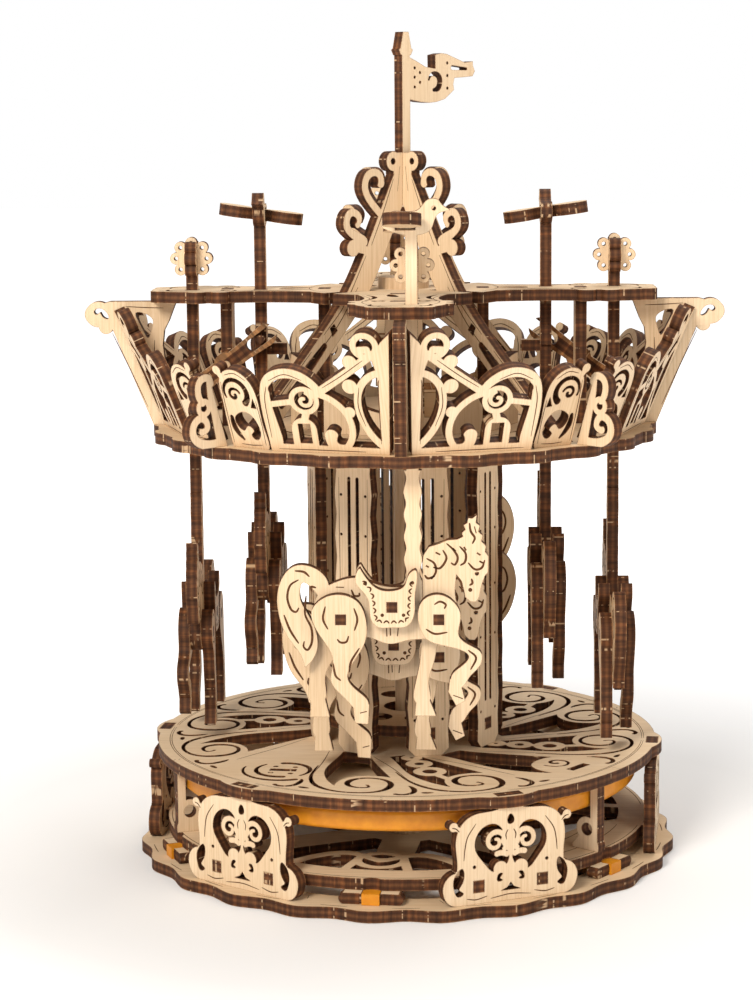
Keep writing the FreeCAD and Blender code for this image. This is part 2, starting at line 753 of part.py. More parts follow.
def cross_plate():
    reach = size("arm_reach")
    arm = join([
        smooth([at(0, 0) + Vector(-17, 0, 0), at(0, 0) + Vector(-15, -34, 0),
                Vector(-12.5, -52, 0), Vector(-15, -68, 0), Vector(-11.5, -84, 0),
                Vector(0, -reach, 0), Vector(11.5, -84, 0), Vector(15, -68, 0),
                Vector(12.5, -52, 0), Vector(15, -34, 0), Vector(17, 0, 0), Vector(0, 6, 0)]),
    ] + [disc((x, -reach + 4), 4) for x in (-7.5, -2.5, 2.5, 7.5)]
      + [disc((side * 14, y), 3.4) for side in (-1, 1) for y in (-64, -72)])
    outline = join([disc((0, 0), 36)] + spun(arm, ARMS.values()))
    holes = []
    scroll = []
    for side in (-1, 1):
        scroll.append(spiral((side * 8, -62), 3.6, 0.8, 90 - side * 90, side * 400, (0.7, 1.3), 9))
        scroll.append(stroke([(side * 3, -83), (side * 9, -82), (side * 9.5, -76)], [0.6, 1.6, 0.6]))
        scroll.append(stroke([(side * 11, -56), (side * 9, -46), (side * 12, -36)], [0.6, 1.6, 0.6]))
        scroll.append(smooth([(side * 2.4, -44), (side * 5, -40), (side * 4, -32), (side * 2, -37)]))
    for shape in pole_slots() + [post_tabs(FIT)] + scroll:
        holes = holes + spun(shape, ARMS.values())
    slit = box(-HALF_PLY - FIT, -40, HALF_PLY + FIT, -15)
    holes = holes + spun(slit, turns(45, 4))
    inner_tab = box(-4 - FIT, -28 - HALF_PLY - FIT, 4 + FIT, -28 + HALF_PLY + FIT)
    holes = holes + spun(inner_tab, ARMS.values())
    holes.append(disc((0, 0), size("axle_radius") + 0.01))
    keep(Piece("cross_plate").lying(outline.cut(holes), EXPR["cross_bottom"]))


def rocker_pins():
    pins = []
    side = size("pole_side") + BOSS_HALF - PIN_DEPTH
    for arm, azimuth in ARMS.items():
        pins.append(dowel("rocker_pin_" + arm, "sizes.pin_radius", f"{PIN_DEPTH} + 0.6 + sizes.ply",
                          azimuth, POST_RADIUS, side, GALLERY_MIDDLE))
    return group("rocker_pins", pins)


def arm_posts():
    """Posts that carry the crown ring from the cross plate, one on each arm."""
    middle = size("pole_side") - 4
    outline = join([
        box(middle - 5, CROWN_TOP, size("pole_side") + BOSS_HALF, CROSS_BOTTOM),
        box(middle - 3, CROWN_BOTTOM, middle + 3, CROSS_TOP),
    ])
    outline = outline.cut(box(-4, CROWN_TOP + 8, size("pole_side") - 4.5, CROSS_BOTTOM - 26))
    piece = Piece("arm_post_plates")
    piece.facing(outline, 0.0, f"{POST_RADIUS} - sizes.ply / 2")
    keep(drilled("arm_posts", piece.pattern(4), rocker_pins()))


def inner_posts():
    outline = join([
        box(-6, CROWN_TOP + 2 + PLY, 6, CROSS_BOTTOM),
        box(-4, CROWN_TOP + 2, 4, CROSS_TOP),
    ])
    outline = outline.cut(stroke([(0, CROWN_TOP + 14), (0, CROSS_BOTTOM - 14)], 3))
    piece = Piece("inner_posts")
    piece.facing(outline, 0.0, "28 - sizes.ply / 2")
    keep(piece.pattern(4))


def rotor_hub():
    outline = disc((0, 0), 31.5).cut(disc((0, 0), size("axle_radius") + 0.01))
    slot = box(-4 - FIT, -28 - HALF_PLY - FIT, 4 + FIT, -28 + HALF_PLY + FIT)
    outline = outline.cut(spun(slot, ARMS.values()))
    keep(Piece("rotor_hub").lying(outline, EXPR["crown_top"] + " + 2"))


def wing_outline():
    """Wing bracket in its radial plane: distance from the axis, height."""
    foot = CROWN_TOP
    top = CROSS_BOTTOM
    tip = top - 4.7
    body = polygon([
        (80.5, foot), (89.6, foot), (103.7, top - 9.5), (106, top - 8.6), (108, top - 1.2),
        (104.3, top - 0.1), (80.6, top - 0.1), (83.3, top - 7), (85.1, top - 10.5),
        (85.7, top - 15.7), (84.4, top - 26), (82, foot + 9),
    ])
    tip_curl = [disc((108.4, tip), 4.6), disc((105.8, top - 9.2), 2.5), disc((109.6, tip), 3.7)]
    holes = [
        smooth([(94.5, top - 4), (90.5, top - 5.2), (89.3, top - 6.4), (89.6, top - 10),
                (90.8, top - 13), (93, top - 9.5)]),
        smooth([(109.9, tip + 1.2), (108.7, tip + 2.1), (105.2, tip + 0.2), (104.9, tip - 1.4),
                (107, tip - 0.7), (108, tip + 0.7), (109, tip)]),
    ]
    return join([body] + tip_curl).cut(holes)


def wing_brackets():
    keep(Piece("wing_brackets").radial(wing_outline(), 0.0).pattern(4))


WALL_SCALE = size("gallery_height") / 44.1


def tall_panel():
    """Side wall next to a wing, drawn across and up the leaning plate."""
    s = WALL_SCALE
    strong = [
        polygon([(23, 0), (28.2, 44 * s), (25, 41 * s), (21, 35.2 * s), (22.4, 29.4 * s),
                 (24.4, 27 * s), (21.4, 2 * s)]),
        polygon([(20.6, 0), (23, 0), (25.4, 30 * s), (22.4, 30 * s)]),
        polygon([(-17.8, 0), (23, 0), (23, 2.4 * s), (-17.6, 3 * s)]),
        stroke([(21.4, 36.5 * s), (12, 29.6 * s), (1.6, 22.4 * s)], 3.0),
        ring((19.4, 39.4 * s), 4.9, 2.7),
        stroke([(17.4, 38 * s), (20, 38.2 * s)], 2.6),
        disc((13.7, 33.6 * s), 2.5),
        disc((12.6, 24.8 * s), 2.6),
        disc((11.3, 15.4 * s), 2.0),
        stroke([(23.6, 30 * s), (18.4, 27.6 * s), (15.1, 22.4 * s), (14.6, 16.4 * s),
                (16.4, 9.6 * s), (21.4, 3 * s)], 2.6),
        stroke([(1.6, 21.6 * s), (7, 18.6 * s), (10.6, 13.6 * s), (11.2, 7 * s), (8.4, 2 * s)], 2.4),
        stroke([(8.4, 2 * s), (4.6, 2.6 * s), (3.9, 6.4 * s)], [3.0, 3.6, 4.8]),
        ring((-3.8, 19.2 * s), 5.2, 3.3),
        spiral((-3.8, 19.2 * s), 2.9, 0.7, 70, -330, 1.5),
        join([disc((-5.2, 8.4 * s), 4.4), box(-9.6, 0, -0.8, 8.4 * s)]),
        stroke([(-16.2, 1.5 * s), (-17.0, 22 * s), (-15.4, 26.4 * s), (-8.5, 29 * s),
                (-1.4, 26.2 * s), (1.8, 22.4 * s)], [3.4, 3.4, 3.4, 3.6, 3.2, 2.6]),
        stroke([(-16.4, 17.4 * s), (-8.6, 18.6 * s)], 2.2),
        stroke([(-3.8, 14.4 * s), (-4.6, 12 * s)], 2.6),
    ]
    weak = [
        box(-40, -9, 40, 0),
        box(-7.2, 3.4 * s, -3.0, 10.6 * s),
        smooth([(-15.4, 22.2 * s), (-11, 26.2 * s), (-6.6, 26 * s), (-9.6, 23.2 * s),
                (-12, 21.4 * s)]),
    ]
    return join(strong).cut(weak)


def narrow_panel():
    """Side wall next to a corner bracket."""
    s = WALL_SCALE
    body = smooth([(-8.5, 0.2), (-7.9, 12 * s), (-7.2, 19 * s), (-6.4, 25 * s), (-3.0, 28.6 * s),
                   (2, 28.8 * s), (6.6, 25 * s), (8, 18 * s), (7.4, 8 * s), (7, 0.2), (0, 0)])
    foot = box(-8.5, 0, 7, 4)
    ear = [disc((-6.3, 28.6 * s), 1.7), stroke([(-6.3, 28.4 * s), (-4.8, 25.8 * s)], 2.2)]
    holes = [
        box(-20, -9, 20, 0),
        spiral((-0.6, 20.6 * s), 5.0, 4.6, 200, -250, (0.8, 2.4), 8),
        spiral((-1.6, 19.8 * s), 2.7, 0.6, 20, 330, (0.9, 1.3), 8),
        polygon([(4.2, 15.4 * s), (6.6, 15.2 * s), (6.0, 19 * s)]),
        stroke([(-5.4, 11.4 * s), (-5, 6.6 * s), (-2.8, 3.2 * s)], [1.4, 2.2, 0.8]),
        smooth([(-3.4, 12 * s), (3.6, 12.2 * s), (5.4, 8 * s), (4.6, 4.4 * s), (2.2, 3.4 * s),
                (1.2, 5.2 * s), (2.6, 6.6 * s), (0.8, 8.4 * s), (-1.4, 6.6 * s)]),
    ]
    return join([body, foot] + ear).cut(holes)


TALL_AZIMUTH = 17.0
NARROW_AZIMUTH = 36.5


def side_walls():
    """Leaning walls: their outer lower edges stand on the crown ring."""
    lean = size("wall_lean")
    radius = "sizes.wall_radius"
    level = EXPR["crown_top"] + f" + sizes.ply * sin({lean} deg)"
    tall = moved(tall_panel(), -1.4, 0)
    piece = Piece("tall_panels")
    piece.facing(tall, -TALL_AZIMUTH, radius, level, lean)
    piece.facing(mirrored(tall), TALL_AZIMUTH, radius, level, lean)
    keep(piece.pattern(4))
    narrow = narrow_panel()
    piece = Piece("narrow_panels")
    piece.facing(narrow, -NARROW_AZIMUTH, radius, level, lean)
    piece.facing(mirrored(narrow), NARROW_AZIMUTH, radius, level, lean)
    keep(piece.pattern(4))


def corner_brackets():
    """Scrolled bracket on each corner of the crown, drawn as radius and height."""
    foot = CROWN_TOP
    spine = polygon([(84.2, foot), (88.6, foot), (91, foot + 11), (92.6, foot + 17.4),
                     (93, foot + 22), (91.4, foot + 23), (90, foot + 18)])
    curl = stroke([(88, foot + 1.7), (94.5, foot + 1.5), (98.8, foot + 4.6), (98, foot + 9),
                   (94.4, foot + 10), (92.8, foot + 7.4), (95, foot + 5.8)],
                  [3.4, 3.2, 3.0, 2.8, 2.6, 2.4, 2.8])
    hook = stroke([(94.6, foot + 15.4), (96.6, foot + 19), (95.4, foot + 22.8), (92.4, foot + 23.4),
                   (91, foot + 21.4)], [2.6, 2.6, 2.6, 2.6, 2.4])
    outline = join([spine, curl, hook, ring((94.2, foot + 13.6), 3.2, 1.2)])
    outline = outline.cut(box(80, foot - 4, 101, foot))
    keep(Piece("corner_brackets").radial(outline, 45.0).pattern(4))


# ------------------------------------------------------------------ roof
def roof_leg():
    """One leg of a roof fin: distance from the axis, height."""
    foot = CROWN_TOP
    apex = ROOF_APEX
    outer = [(6.2, apex - 8), (10, apex - 15), (18, apex - 30), (30.6, apex - 50),
             (43.5, apex - 64), (57, apex - 77), (68, apex - 87), (79, foot)]
    inner = [(66, foot), (56, apex - 86), (46, apex - 77), (33, apex - 64.5), (20.5, apex - 51),
             (9, apex - 32), (2.2, apex - 19), (0, apex - 17), (0, apex - 8)]
    edges = [
        open_curve([flat(point) for point in outer]),
        Part.makeLine(flat(outer[-1]), flat(inner[0])),
        open_curve([flat(point) for point in inner[:-2]]),
        Part.makeLine(flat(inner[-3]), flat(inner[-2])),
        Part.makeLine(flat(inner[-2]), flat(inner[-1])),
        Part.makeLine(flat(inner[-1]), flat(outer[0])),
    ]
    parts = [
        face_of(edges),
        box(0, apex - 12, 5, apex - 4),
        disc((6.4, apex - 3.6), 3.4),
        box(0, apex - 8, 6.4, apex - 0.6),
        stroke([(12.6, apex - 22), (17.4, apex - 17.4), (20.2, apex - 12), (18.4, apex - 8),
                (14, apex - 7.6), (12.6, apex - 11)], [2.6, 2.8, 3.0, 2.9, 2.6, 3.4]),
        stroke([(21, apex - 31), (25.6, apex - 28.4), (29, apex - 25), (27, apex - 20.8),
                (23.2, apex - 22.4), (23.8, apex - 25)], [3.6, 3.2, 3.0, 2.8, 2.6, 2.4]),
        disc((26, apex - 33), 2.9),
        stroke([(20, apex - 34), (24, apex - 33)], 3.0),
    ]
    holes = [
        disc((6.6, apex - 3.6), 1.1),
        polygon([(35.4, apex - 58.6), (37.4, apex - 60), (36.2, apex - 63), (33.8, apex - 61)]),
        stroke([(40, apex - 66), (50, apex - 75.5), (60, apex - 84.6)], [2.2, 3.6, 2.6]),
    ]
    return join(parts).cut(holes)


def flag_outline():
    """Pole, pennant and finial, standing on the roof's crossing."""
    top = FINIAL_TIP
    low = ROOF_APEX - 10
    pennant = polygon([
        (1, top - 8.5), (5, top - 10), (9.5, top - 12), (14.5, top - 12.6), (14.4, top - 7.8),
        (17.4, top - 7.2), (20, top - 7.4), (25, top - 9), (29.3, top - 10.4), (33.4, top - 9.9),
        (33.4, top - 11.4), (34.4, top - 13.4), (33.2, top - 15.2), (28, top - 15.6),
        (24, top - 15.8), (23.4, top - 18), (23.8, top - 20), (19.1, top - 23.2),
        (15, top - 24.2), (11.4, top - 24.5), (7, top - 24.2), (1, top - 23.2),
    ])
    finial = polygon([(-2.4, top - 8), (-3.4, top - 6.2), (-2.6, top - 5.6), (-1.3, top),
                      (1.3, top), (2.6, top - 5.6), (3.4, top - 6.2), (2.4, top - 8)])
    mast = box(-1.9, low, 1.9, top - 6)
    holes = [
        stroke([(11.2, top - 16.4), (13.6, top - 14.4), (16.2, top - 15.6), (16.2, top - 18.6),
                (13.6, top - 20)], [0.8, 1.6, 2.4, 2.4, 1.2]),
        stroke([(23, top - 12.2), (30, top - 12.6)], [1.6, 0.9]),
    ]
    for x, drop in ((4.2, 12.4), (4.2, 15.6), (4.2, 19), (6.8, 14), (6.8, 17.4), (20.4, 10.6),
                    (20.4, 15), (20.4, 19.4)):
        holes.append(disc((x, top - drop), 0.5))
    return join([pennant, finial, mast]).cut(holes)


def roof_fins():
    apex = ROOF_APEX
    leg = roof_leg()
    fin = join([leg, mirrored(leg)])
    middle = apex - 8.5
    gap = HALF_PLY + FIT / 2
    plain = fin.cut(box(-gap, middle, gap, apex + 2))
    flagged = join([fin, flag_outline()]).cut(box(-gap, apex - 25, gap, middle))
    keep(Piece("roof_fin_plain").radial(plain, 45.0))
    keep(Piece("roof_fin_flag").radial(flagged, 135.0))


# ------------------------------------------------------------------ rockers and poles
ROCKER_SIDE = BOSS_HALF + 0.3 + HALF_PLY
ARM_LENGTH = (size("outer_circle") - size("inner_circle")) / 2
TILT = math.degrees(math.atan(TRAVEL / 2 / ARM_LENGTH))
PIN_PLAY = 0.65


def rocker(arm, azimuth, outer_high):
    """Double-ended rocker with forked ends, tilted as it stands at rest."""
    far = ARM_LENGTH / cos_deg(TILT) + size("pin_radius") + 4.0
    beam = stroke([(-far + 3.2, 0), (0, 0), (far - 3.2, 0)], [7.8, 6.0, 7.8])
    holes = [disc((0, 0), size("pin_radius") + size("run_gap"))]
    slot_half = size("pin_radius") + PIN_PLAY
    for side in (-1, 1):
        near = ARM_LENGTH - 0.4
        holes.append(join([disc((side * near, 0), slot_half),
                           box(min(side * near, side * (far + 2)), -slot_half,
                               max(side * near, side * (far + 2)), slot_half)]))
    outline = join([beam, disc((0, 0), 4.4)]).cut(holes)
    tilt = TILT if outer_high else -TILT
    outline = moved(outline, POST_RADIUS, GALLERY_MIDDLE, tilt)
    piece = Piece("rocker_" + arm)
    piece.radial(outline, azimuth, side=f"sizes.pole_side + {ROCKER_SIDE}")
    keep(piece)


def pole_outline(high, bird):
    """Pole with its ornament, in the plate's plane: sideways, height."""
    middle = size("pole_side")
    saddle = size("saddle_height") - (0 if high else TRAVEL)
    narrow = size("pole_width") / 2
    wide = size("pole_wide") / 2
    start = saddle - 2
    step = CROWN_BOTTOM - 1.2 - (0 if high else TRAVEL)
    tip = saddle + 125.3
    left = [(-wide, start), (-wide, start + 10)]
    count = 10
    for index in range(1, count):
        wave = 0.75 if index % 2 else 0.0
        left.append((-wide + wave, start + 10 + (step - start - 11) * index / count))
    left.append((-wide, step - 1))
    side = [flat(point) for point in left]
    right = [Vector(-point.x, point.y, 0) for point in side]
    lower = face_of([
        Part.makeLine(right[0], side[0]),
        Part.makeLine(side[0], side[1]),
        open_curve(side[1:]),
        Part.makeLine(side[-1], right[-1]),
        open_curve(right[:0:-1]),
        Part.makeLine(right[1], right[0]),
    ])
    pin_level = GALLERY_MIDDLE + (TRAVEL / 2 if high else -TRAVEL / 2)
    boss = box(-BOSS_HALF, pin_level - 3.5, BOSS_HALF, pin_level + 3.5)
    parts = [lower, box(-narrow, step - 2, narrow, tip), boss]
    holes = []
    if bird:
        parts.append(smooth([(-9, tip - 1.6), (-4, tip - 3.4), (2, tip - 3.8), (6.4, tip - 2),
                             (9.6, tip + 3.4), (12.6, tip + 4.2), (10.4, tip + 5.6),
                             (8.6, tip + 7.6), (5.2, tip + 7.4), (2.6, tip + 4.6),
                             (-3, tip + 3.8), (-8, tip + 2.6)]))
        holes.append(box(-5.2, tip - 2.2, 1.4, tip + 2.6))
        holes.append(disc((7.4, tip + 4.8), 0.7))
    else:
        scallops = []
        for angle in range(0, 360, 45):
            place = Vector(cos_deg(angle), sin_deg(angle), 0) * 5.4 + Vector(0, tip + 3, 0)
            scallops.append(disc(place, 2.1))
            holes.append(disc(place, 0.7))
        parts = parts + [disc((0, tip + 3), 5.6)] + scallops
        gap = HALF_PLY + FIT / 2
        holes.append(box(-gap, tip + 3, gap, tip + 12))
    return moved(join(parts).cut(holes), middle, 0), tip, pin_level


def ornament_outline():
    """Crossing disc of a sun ornament, in the radial plane about its middle."""
    scallops = []
    holes = []
    for angle in range(0, 360, 45):
        place = Vector(cos_deg(angle), sin_deg(angle), 0) * 5.4
        scallops.append(disc(place, 2.1))
        holes.append(disc(place, 0.7))
    gap = HALF_PLY + FIT / 2
    holes.append(box(-gap, -12, gap, 0))
    return join([disc((0, 0), 5.6)] + scallops).cut(holes)


def bird_wings():
    """Wing plate of a bird ornament, seen from above: sideways, outwards."""
    return join([
        smooth([(-3.2, -14.8), (-8.6, -12.4), (-8.2, -6.5), (-4.6, -3.0), (-4.6, 3.0),
                (-8.2, 6.5), (-8.6, 12.4), (-3.2, 14.8), (2.4, 12), (3.2, 6.8),
                (0.9, 3.0), (0.9, -3.0), (3.2, -6.8), (2.4, -12)]),
    ])


def pole(name, azimuth, radius, high, bird):
    outline, tip, pin_level = pole_outline(high, bird)
    plate = Piece("pole_plate_" + name)
    plate.facing(outline, azimuth, f"sizes.{radius} - sizes.ply / 2")
    distance = size(radius)
    side = size("pole_side") + BOSS_HALF - PIN_DEPTH
    pin = dowel("pole_pin_" + name, "sizes.pin_radius", f"{PIN_DEPTH} + 0.3 + sizes.ply",
                azimuth, distance, side, pin_level)
    pieces = [drilled("pole_drilled_" + name, plate, pin), pin]
    if radius == "inner_circle":
        foot = Piece("follower_" + name)
        reach = (size("cam_apothem") + PLY) / cos_deg(22.5) + SLIDE
        low = CROWN_TOP + size("cam_middle") + (TRAVEL / 2 if high else -TRAVEL / 2)
        foot.radial(box(reach, low, distance - HALF_PLY, low + PLY), azimuth, side="sizes.pole_side")
        pieces.append(foot)
    if bird:
        wings = Piece("bird_wings_" + name)
        wings.pad(bird_wings(), "XY_Plane", ("", "", ""), Rotation())
        body = wings.body
        lean = Rotation(Vector(1, 0, 0), -8.0)
        place = at(distance, azimuth) + Vector(cos_deg(azimuth), sin_deg(azimuth), 0) * (
            size("pole_side"))
        body.Placement = Placement(place + Vector(0, 0, tip + 0.2 - HALF_PLY),
                                   Rotation(Vector(0, 0, 1), azimuth) * lean)
        pieces.append(wings)
    else:
        crossing = Piece("sun_disc_" + name)
        outline = moved(ornament_outline(), distance, tip + 3)
        crossing.radial(outline, azimuth, side="sizes.pole_side")
        pieces.append(crossing)
    group("pole_" + name, pieces)


# ------------------------------------------------------------------ horses
HORSE_KEYS = [(-20.3, -4.1), (-3.4, 0.0), (12.0, -4.2)]
KEY_HALF = 1.75


def horse_body():
    """Body, neck, head and tail, about the saddle key's height."""
    trunk = smooth([
        (-29, 1), (-26.5, 5.2), (-21, 8.1), (-15.1, 9.2), (-9, 7.2), (-2, 6.0), (4, 7.4),
        (7.2, 12), (8.4, 16.4), (12, 18), (17.4, 14), (17.6, 8), (17.5, 2.8), (18.6, -4),
        (16, -9), (10, -11.4), (2, -11.9), (-4.6, -13.1), (-11.5, -10.9), (-18, -11.4),
        (-26, -8.6), (-29.6, -3.6)])
    head = polygon([
        (6.6, 13), (7.0, 16.6), (8.8, 19.4), (12, 20.4), (15.1, 21.7), (18.2, 21.9), (20.1, 22.8),
        (19.7, 24.0), (20.9, 25.2), (20.2, 26.6), (21.5, 27.4), (21.8, 29.0), (23.2, 28.9),
        (24.6, 30.0), (24.3, 27.4), (25.6, 26.4), (25.1, 24.4), (26.5, 23.2), (26.1, 21.2),
        (27.6, 19.6), (27.3, 17.8), (28.4, 16.2), (28.3, 11), (27.2, 9.6), (26.3, 7.2),
        (25.2, 2.2), (24.2, 0.9),
        (22.4, 1.0), (20.7, 2.6), (20.2, 5.6), (19.0, 8.6), (17.6, 10.5), (16.8, 7), (17.2, 2),
        (8, 2)])
    tail = stroke([(-26, 3), (-29.5, 9.4), (-34, 10.4), (-37.4, 5), (-36.6, -2.2), (-33.6, -9),
                   (-31.6, -14.6), (-32.2, -20.4)], [4, 6.0, 6.4, 7.2, 8.8, 9.6, 6.8, 1.0])
    notch = box(size("pole_side") - size("pole_wide") / 2 - FIT, -2,
                size("pole_side") + size("pole_wide") / 2 + FIT, 16)
    holes = [notch, disc((24.6, 10.4), 0.6)]
    for x, y in HORSE_KEYS:
        reach = KEY_HALF + FIT / 2
        holes.append(box(x - reach, y - reach, x + reach, y + reach))
    return join([trunk, head, tail]).cut(holes)


def hind_near():
    return join([
        smooth([(-29.1, 0.4), (-25.4, 3.4), (-20.2, 4.3), (-14.4, 1.6), (-12.1, -3.4),
                (-12.4, -11.8), (-16.4, -18.6), (-18.2, -23.4), (-14.6, -28.4), (-11.3, -33),
                (-13.4, -36), (-16.4, -33.8), (-20.4, -29.4), (-23.6, -25.2), (-23, -18.3),
                (-27.2, -9.4)]),
        polygon([(-11.1, -32.6), (-11.5, -39.4), (-15.9, -39), (-16.4, -34)]),
    ])


def hind_far():
    return join([
        smooth([(-28.6, -1), (-24.4, 3.2), (-19.4, 3.6), (-14.6, 0), (-14, -6.4), (-18.6, -13.2),
                (-23.4, -19.6), (-26, -26), (-26.6, -33.4), (-30.4, -34), (-31.4, -27),
                (-30.6, -18), (-29.6, -9)]),
        polygon([(-30.8, -32), (-26.2, -32), (-24.6, -38.9), (-31.2, -38.9)]),
    ])


def fore_near():
    return join([
        smooth([(5.6, 0.3), (8, 3.3), (12.2, 4.2), (17, 1.6), (19.2, -3), (18.6, -9.6),
                (22.6, -13), (26, -15.6), (25.6, -19.4), (22, -23.6), (19, -27.2), (16.4, -26.6),
                (16, -23.4), (19.4, -19.8), (21.8, -17), (14, -13), (7.6, -10.4), (5.4, -5.4)]),
        polygon([(15.6, -24), (19.4, -26.6), (20.6, -31.6), (17.6, -33.2), (15, -28.4)]),
    ])


def fore_far():
    return join([
        smooth([(6.4, -1), (9.4, 3), (14, 3.4), (17.6, -1), (16.8, -7), (12.4, -12.4),
                (10.4, -20), (8.6, -28), (8.4, -34), (4.8, -34.4), (4.2, -27), (6, -17),
                (6.2, -8)]),
        polygon([(4.4, -33), (8.8, -33), (11, -38.6), (3.8, -38.6)]),
    ])


def saddle():
    return join([
        smooth([(-13.6, 12.8), (-11.6, 9.6), (-8, 6.2), (-3.2, 5.5), (0.6, 7), (2.6, 11.4),
                (4.4, 12.4), (5.0, 9.6), (4.2, 4), (3.6, -3.6), (1.6, -6.3), (-3.4, -6.8),
                (-8.6, -6.4), (-10.4, -3.8), (-11.2, 2.4), (-14, 6.4), (-15.4, 10)]),
    ])


def key_holes(indices):
    holes = []
    reach = KEY_HALF + FIT / 2
    for index in indices:
        x, y = HORSE_KEYS[index]
        holes.append(box(x - reach, y - reach, x + reach, y + reach))
    return holes


def horse(name, azimuth, radius, high):
    saddle_level = size("saddle_height") - (0 if high else TRAVEL)
    inner = f"sizes.{radius} - sizes.ply / 2"
    body = Piece("horse_" + name)
    body.facing(horse_body(), azimuth, inner, f"{saddle_level}")
    keep(body)
    trim = Piece("tack_plates_" + name)
    legs = Piece("leg_plates_" + name)
    near = inner + " + sizes.ply"
    far = inner + " - sizes.ply"
    legs.facing(hind_near().cut(key_holes([0])), azimuth, near, f"{saddle_level}")
    legs.facing(fore_near().cut(key_holes([2])), azimuth, near, f"{saddle_level}")
    legs.facing(hind_far().cut(key_holes([0])), azimuth, far, f"{saddle_level}")
    legs.facing(fore_far().cut(key_holes([2])), azimuth, far, f"{saddle_level}")
    trim.facing(saddle().cut(key_holes([1])), azimuth, near, f"{saddle_level}")
    trim.facing(saddle().cut(key_holes([1])), azimuth, far, f"{saddle_level}")
    keys = Piece("horse_keys_" + name)
    for x, y in HORSE_KEYS:
        peg = box(x - KEY_HALF, y - KEY_HALF, x + KEY_HALF, y + KEY_HALF)
        keys.facing(peg, azimuth, far, f"{saddle_level}", thickness="3 * sizes.ply")
    group("legs_" + name, [legs, trim, keys])


# ------------------------------------------------------------------ build
base_plate()
rubber_pegs()
band_anchors()
rubber_bands()
base_panels()
tray()
radial_brackets()
deck()
column_plates()
column_discs()
column_cap()
wave_cam()
axle_parts()
drive_wheel()
drive_belt()
crown_ring()
cross_plate()
arm_posts()
inner_posts()
rotor_hub()
wing_brackets()
side_walls()
corner_brackets()
roof_fins()
for arm_name, arm_azimuth in ARMS.items():
    outer_is_high = arm_name in ("front", "back")
    rocker(arm_name, arm_azimuth, outer_is_high)
    for place_name, circle in (("outer", "outer_circle"), ("inner", "inner_circle")):
        is_high = outer_is_high == (place_name == "outer")
        full_name = f"{arm_name}_{place_name}"
        pole(full_name, arm_azimuth, circle, is_high, is_high)
        horse(full_name, arm_azimuth, circle, is_high)

doc.recompute()
for item in doc.Objects:
    if "Invalid" in item.State or "Error" in item.State:
        raise RuntimeError(f"{item.Label} failed: {item.State}")
os.makedirs("parts", exist_ok=True)
for part in nodes:
    shape = part.Shape
    if shape.isNull() or not shape.isValid():
        raise RuntimeError(f"{part.Label} has no valid shape")
    shape.exportStep(f"parts/{part.Label}.step")
    print(f"{part.Label}: {len(shape.Solids)} solids, {shape.Volume:.0f} mm3")
print(len(nodes), "sub-parts")
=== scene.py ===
"""Looks of the merry-go-round: birch plywood plates, scorched edges, engraved lines, rubber bands."""

import math

import bpy
import numpy as np
from mathutils import Matrix, Vector


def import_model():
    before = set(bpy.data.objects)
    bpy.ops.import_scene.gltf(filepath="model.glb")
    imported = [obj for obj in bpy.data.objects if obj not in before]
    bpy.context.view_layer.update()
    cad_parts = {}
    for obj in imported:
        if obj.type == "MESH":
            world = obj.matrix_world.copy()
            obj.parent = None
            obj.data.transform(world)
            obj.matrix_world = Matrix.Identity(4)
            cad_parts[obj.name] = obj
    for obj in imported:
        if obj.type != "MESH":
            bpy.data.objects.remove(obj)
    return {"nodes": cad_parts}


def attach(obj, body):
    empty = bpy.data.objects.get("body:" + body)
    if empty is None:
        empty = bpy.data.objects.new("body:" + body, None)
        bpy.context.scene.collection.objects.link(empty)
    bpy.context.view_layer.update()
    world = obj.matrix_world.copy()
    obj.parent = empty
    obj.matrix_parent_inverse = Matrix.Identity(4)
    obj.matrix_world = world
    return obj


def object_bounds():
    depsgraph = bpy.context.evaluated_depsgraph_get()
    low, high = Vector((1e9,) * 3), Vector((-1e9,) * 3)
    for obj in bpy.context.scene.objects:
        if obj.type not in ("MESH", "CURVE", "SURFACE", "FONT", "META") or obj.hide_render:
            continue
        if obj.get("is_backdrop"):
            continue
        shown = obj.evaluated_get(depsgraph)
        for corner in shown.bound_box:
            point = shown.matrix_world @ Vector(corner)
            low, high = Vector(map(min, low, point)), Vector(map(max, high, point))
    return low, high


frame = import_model()
cad_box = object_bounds()
scene = bpy.context.scene
MM = 0.001
ARMS = {"front": 0.0, "right": 90.0, "back": 180.0, "left": -90.0}


